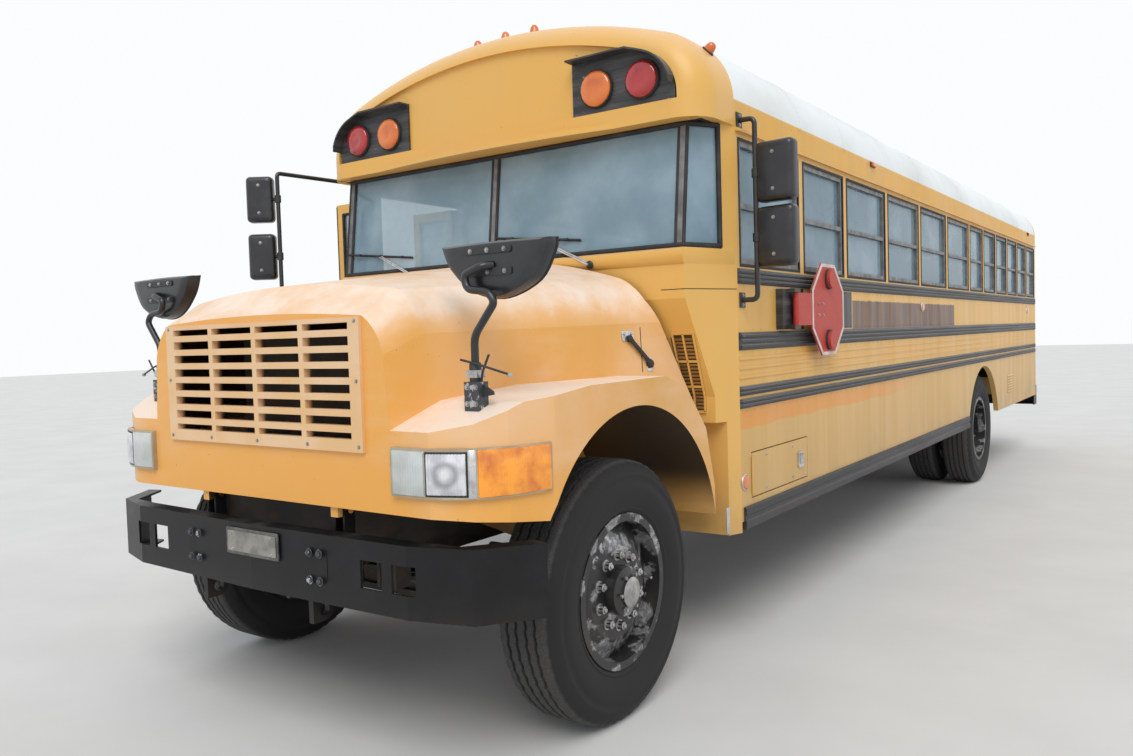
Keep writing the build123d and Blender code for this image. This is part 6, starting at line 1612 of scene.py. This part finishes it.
class BUS_OT_underbody(BusPiece, bpy.types.Operator):
    """Adds spring clips, a bar behind the front axle and tank straps"""
    bl_idname = "bus.underbody"
    bl_label = "Underbody"

    def make(self, sizes):
        shape = Shape()
        spring_x, half = 0.390, 0.045
        for axle_y, seat in ((FRONT_AXLE.y, 0.520), (REAR_AXLE.y, 0.610)):
            for side in (1, -1):
                for dy in (-0.075, 0.075):
                    clip = [(side * (spring_x + across), axle_y + dy, seat + rise) for across, rise in
                            ((-half, -0.14), (-half, 0.10), (half, 0.10), (half, -0.14))]
                    shape.tube(arc_path(clip, 0.02), 0.0095, "chassis_steel", 8)
        bar_y = FRONT_AXLE.y + 0.210
        shape.tube([(-0.70, bar_y, 0.500), (0.70, bar_y, 0.500)], 0.019, "chassis_steel", 12)
        low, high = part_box("fuel_tank")
        gap, half_strap, thick = 0.004, 0.028, 0.002
        ring = [(low.x - gap, low.z - gap), (high.x + gap, low.z - gap), (high.x + gap, high.z + gap),
                (low.x - gap, high.z + gap)]
        for share in (0.22, 0.78):
            y = low.y + (high.y - low.y) * share
            for (a, b), (c, d) in zip(ring, ring[1:] + ring[:1]):
                shape.box((min(a, c) - thick, y - half_strap, min(b, d) - thick),
                          (max(a, c) + thick, y + half_strap, max(b, d) + thick), "chassis_steel")
        shape.build("chassis_fittings", "chassis", "frame_steel")


class BUS_OT_stage(BusPiece, bpy.types.Operator):
    """Sets the floor, lights, sky and camera"""
    bl_idname = "bus.stage"
    bl_label = "Stage"

    def make(self, sizes):
        scene = bpy.context.scene
        reach = 60.0
        mesh = bpy.data.meshes.new("studio_floor")
        mesh.from_pydata([(-reach, -reach, 0), (reach, -reach, 0), (reach, reach, 0), (-reach, reach, 0)], [],
                         [(0, 1, 2, 3)])
        floor = bpy.data.objects.new("studio_floor", mesh)
        scene.collection.objects.link(floor)
        material = bpy.data.materials.new("bus_studio_floor")
        g = Graph(material).locate()
        speck = g.noise(1.4, 5.0).fade(0.3, 0.7)
        g.surface(g.mix(speck, (0.74, 0.735, 0.72), (0.70, 0.695, 0.68)), 0.85)
        mesh.materials.append(material)
        world = bpy.data.worlds.new("studio_sky")
        scene.world = world
        tree = Graph(world)
        seen = tree.add("LightPath", output="Is Camera Ray")
        glossy = tree.add("LightPath", output="Is Glossy Ray")
        through = tree.add("LightPath", output="Is Transmission Ray")
        bright = seen.top(glossy).top(through)
        sky = tree.add("Background", inputs={"Color": (0.90, 0.95, 1.0, 1.0), "Strength": 0.69})
        white = tree.add("Background", inputs={"Color": (0.97, 0.98, 0.99, 1.0), "Strength": 1.0})
        both = tree.add("MixShader", inputs={0: bright, 1: sky, 2: white})
        tree.add("OutputWorld", inputs={"Surface": both})
        sun = bpy.data.lights.new("soft_sun", "SUN")
        sun.energy = 1.50
        sun.angle = radians(35)
        sun.color = (1.0, 0.97, 0.93)
        lamp = bpy.data.objects.new("soft_sun", sun)
        lamp.rotation_euler = (radians(32), radians(28), 0)
        scene.collection.objects.link(lamp)
        camera = bpy.data.objects.new("photo_camera", bpy.data.cameras.new("photo_camera"))
        camera.data.lens = sizes.camera_lens
        camera.data.sensor_width = 36.0
        camera.data.clip_end = 200.0
        yaw, pitch, roll = radians(35.52), radians(2.64), radians(-1.70)
        turn = Matrix.Rotation(yaw, 4, "Z") @ Matrix.Rotation(pi / 2 - pitch, 4, "X") @ Matrix.Rotation(roll, 4, "Z")
        camera.matrix_world = Matrix.Translation((3.015, at(-3.029), 1.546)) @ turn
        scene.collection.objects.link(camera)
        scene.camera = camera
        scene.view_settings.view_transform = "Standard"


OPERATORS = (BUS_OT_stage, BUS_OT_cad_finishes, BUS_OT_tyres, BUS_OT_wheel_trim, BUS_OT_body_trim, BUS_OT_lamps,
             BUS_OT_headlamps, BUS_OT_crossview, BUS_OT_mirrors, BUS_OT_screen_trim, BUS_OT_hood_trim,
             BUS_OT_stop_arm, BUS_OT_bumper_trim, BUS_OT_seats, BUS_OT_side_trim, BUS_OT_door_trim,
             BUS_OT_underbody)


class BUS_PT_looks(bpy.types.Panel):
    """Lists the settings and the pieces."""
    bl_label = "School Bus"
    bl_idname = "BUS_PT_looks"
    bl_space_type = "VIEW_3D"
    bl_region_type = "UI"
    bl_category = "School Bus"

    def draw(self, context):
        for group in (context.scene.bus_colours, context.scene.bus_sizes):
            for name in group.bl_rna.properties.keys():
                if name not in ("rna_type", "name"):
                    self.layout.prop(group, name)
        for operator in OPERATORS:
            self.layout.operator(operator.bl_idname)


CLASSES = (BusColours, BusSizes) + OPERATORS + (BUS_PT_looks,)


def register():
    for cls in CLASSES:
        bpy.utils.register_class(cls)
    bpy.types.Scene.bus_colours = bpy.props.PointerProperty(type=BusColours)
    bpy.types.Scene.bus_sizes = bpy.props.PointerProperty(type=BusSizes)


def unregister():
    del bpy.types.Scene.bus_sizes
    del bpy.types.Scene.bus_colours
    for cls in reversed(CLASSES):
        bpy.utils.unregister_class(cls)


def main():
    register()
    for operator in OPERATORS:
        group, name = operator.bl_idname.split(".")
        getattr(getattr(bpy.ops, group), name)()


if __name__ == "__main__":
    main()
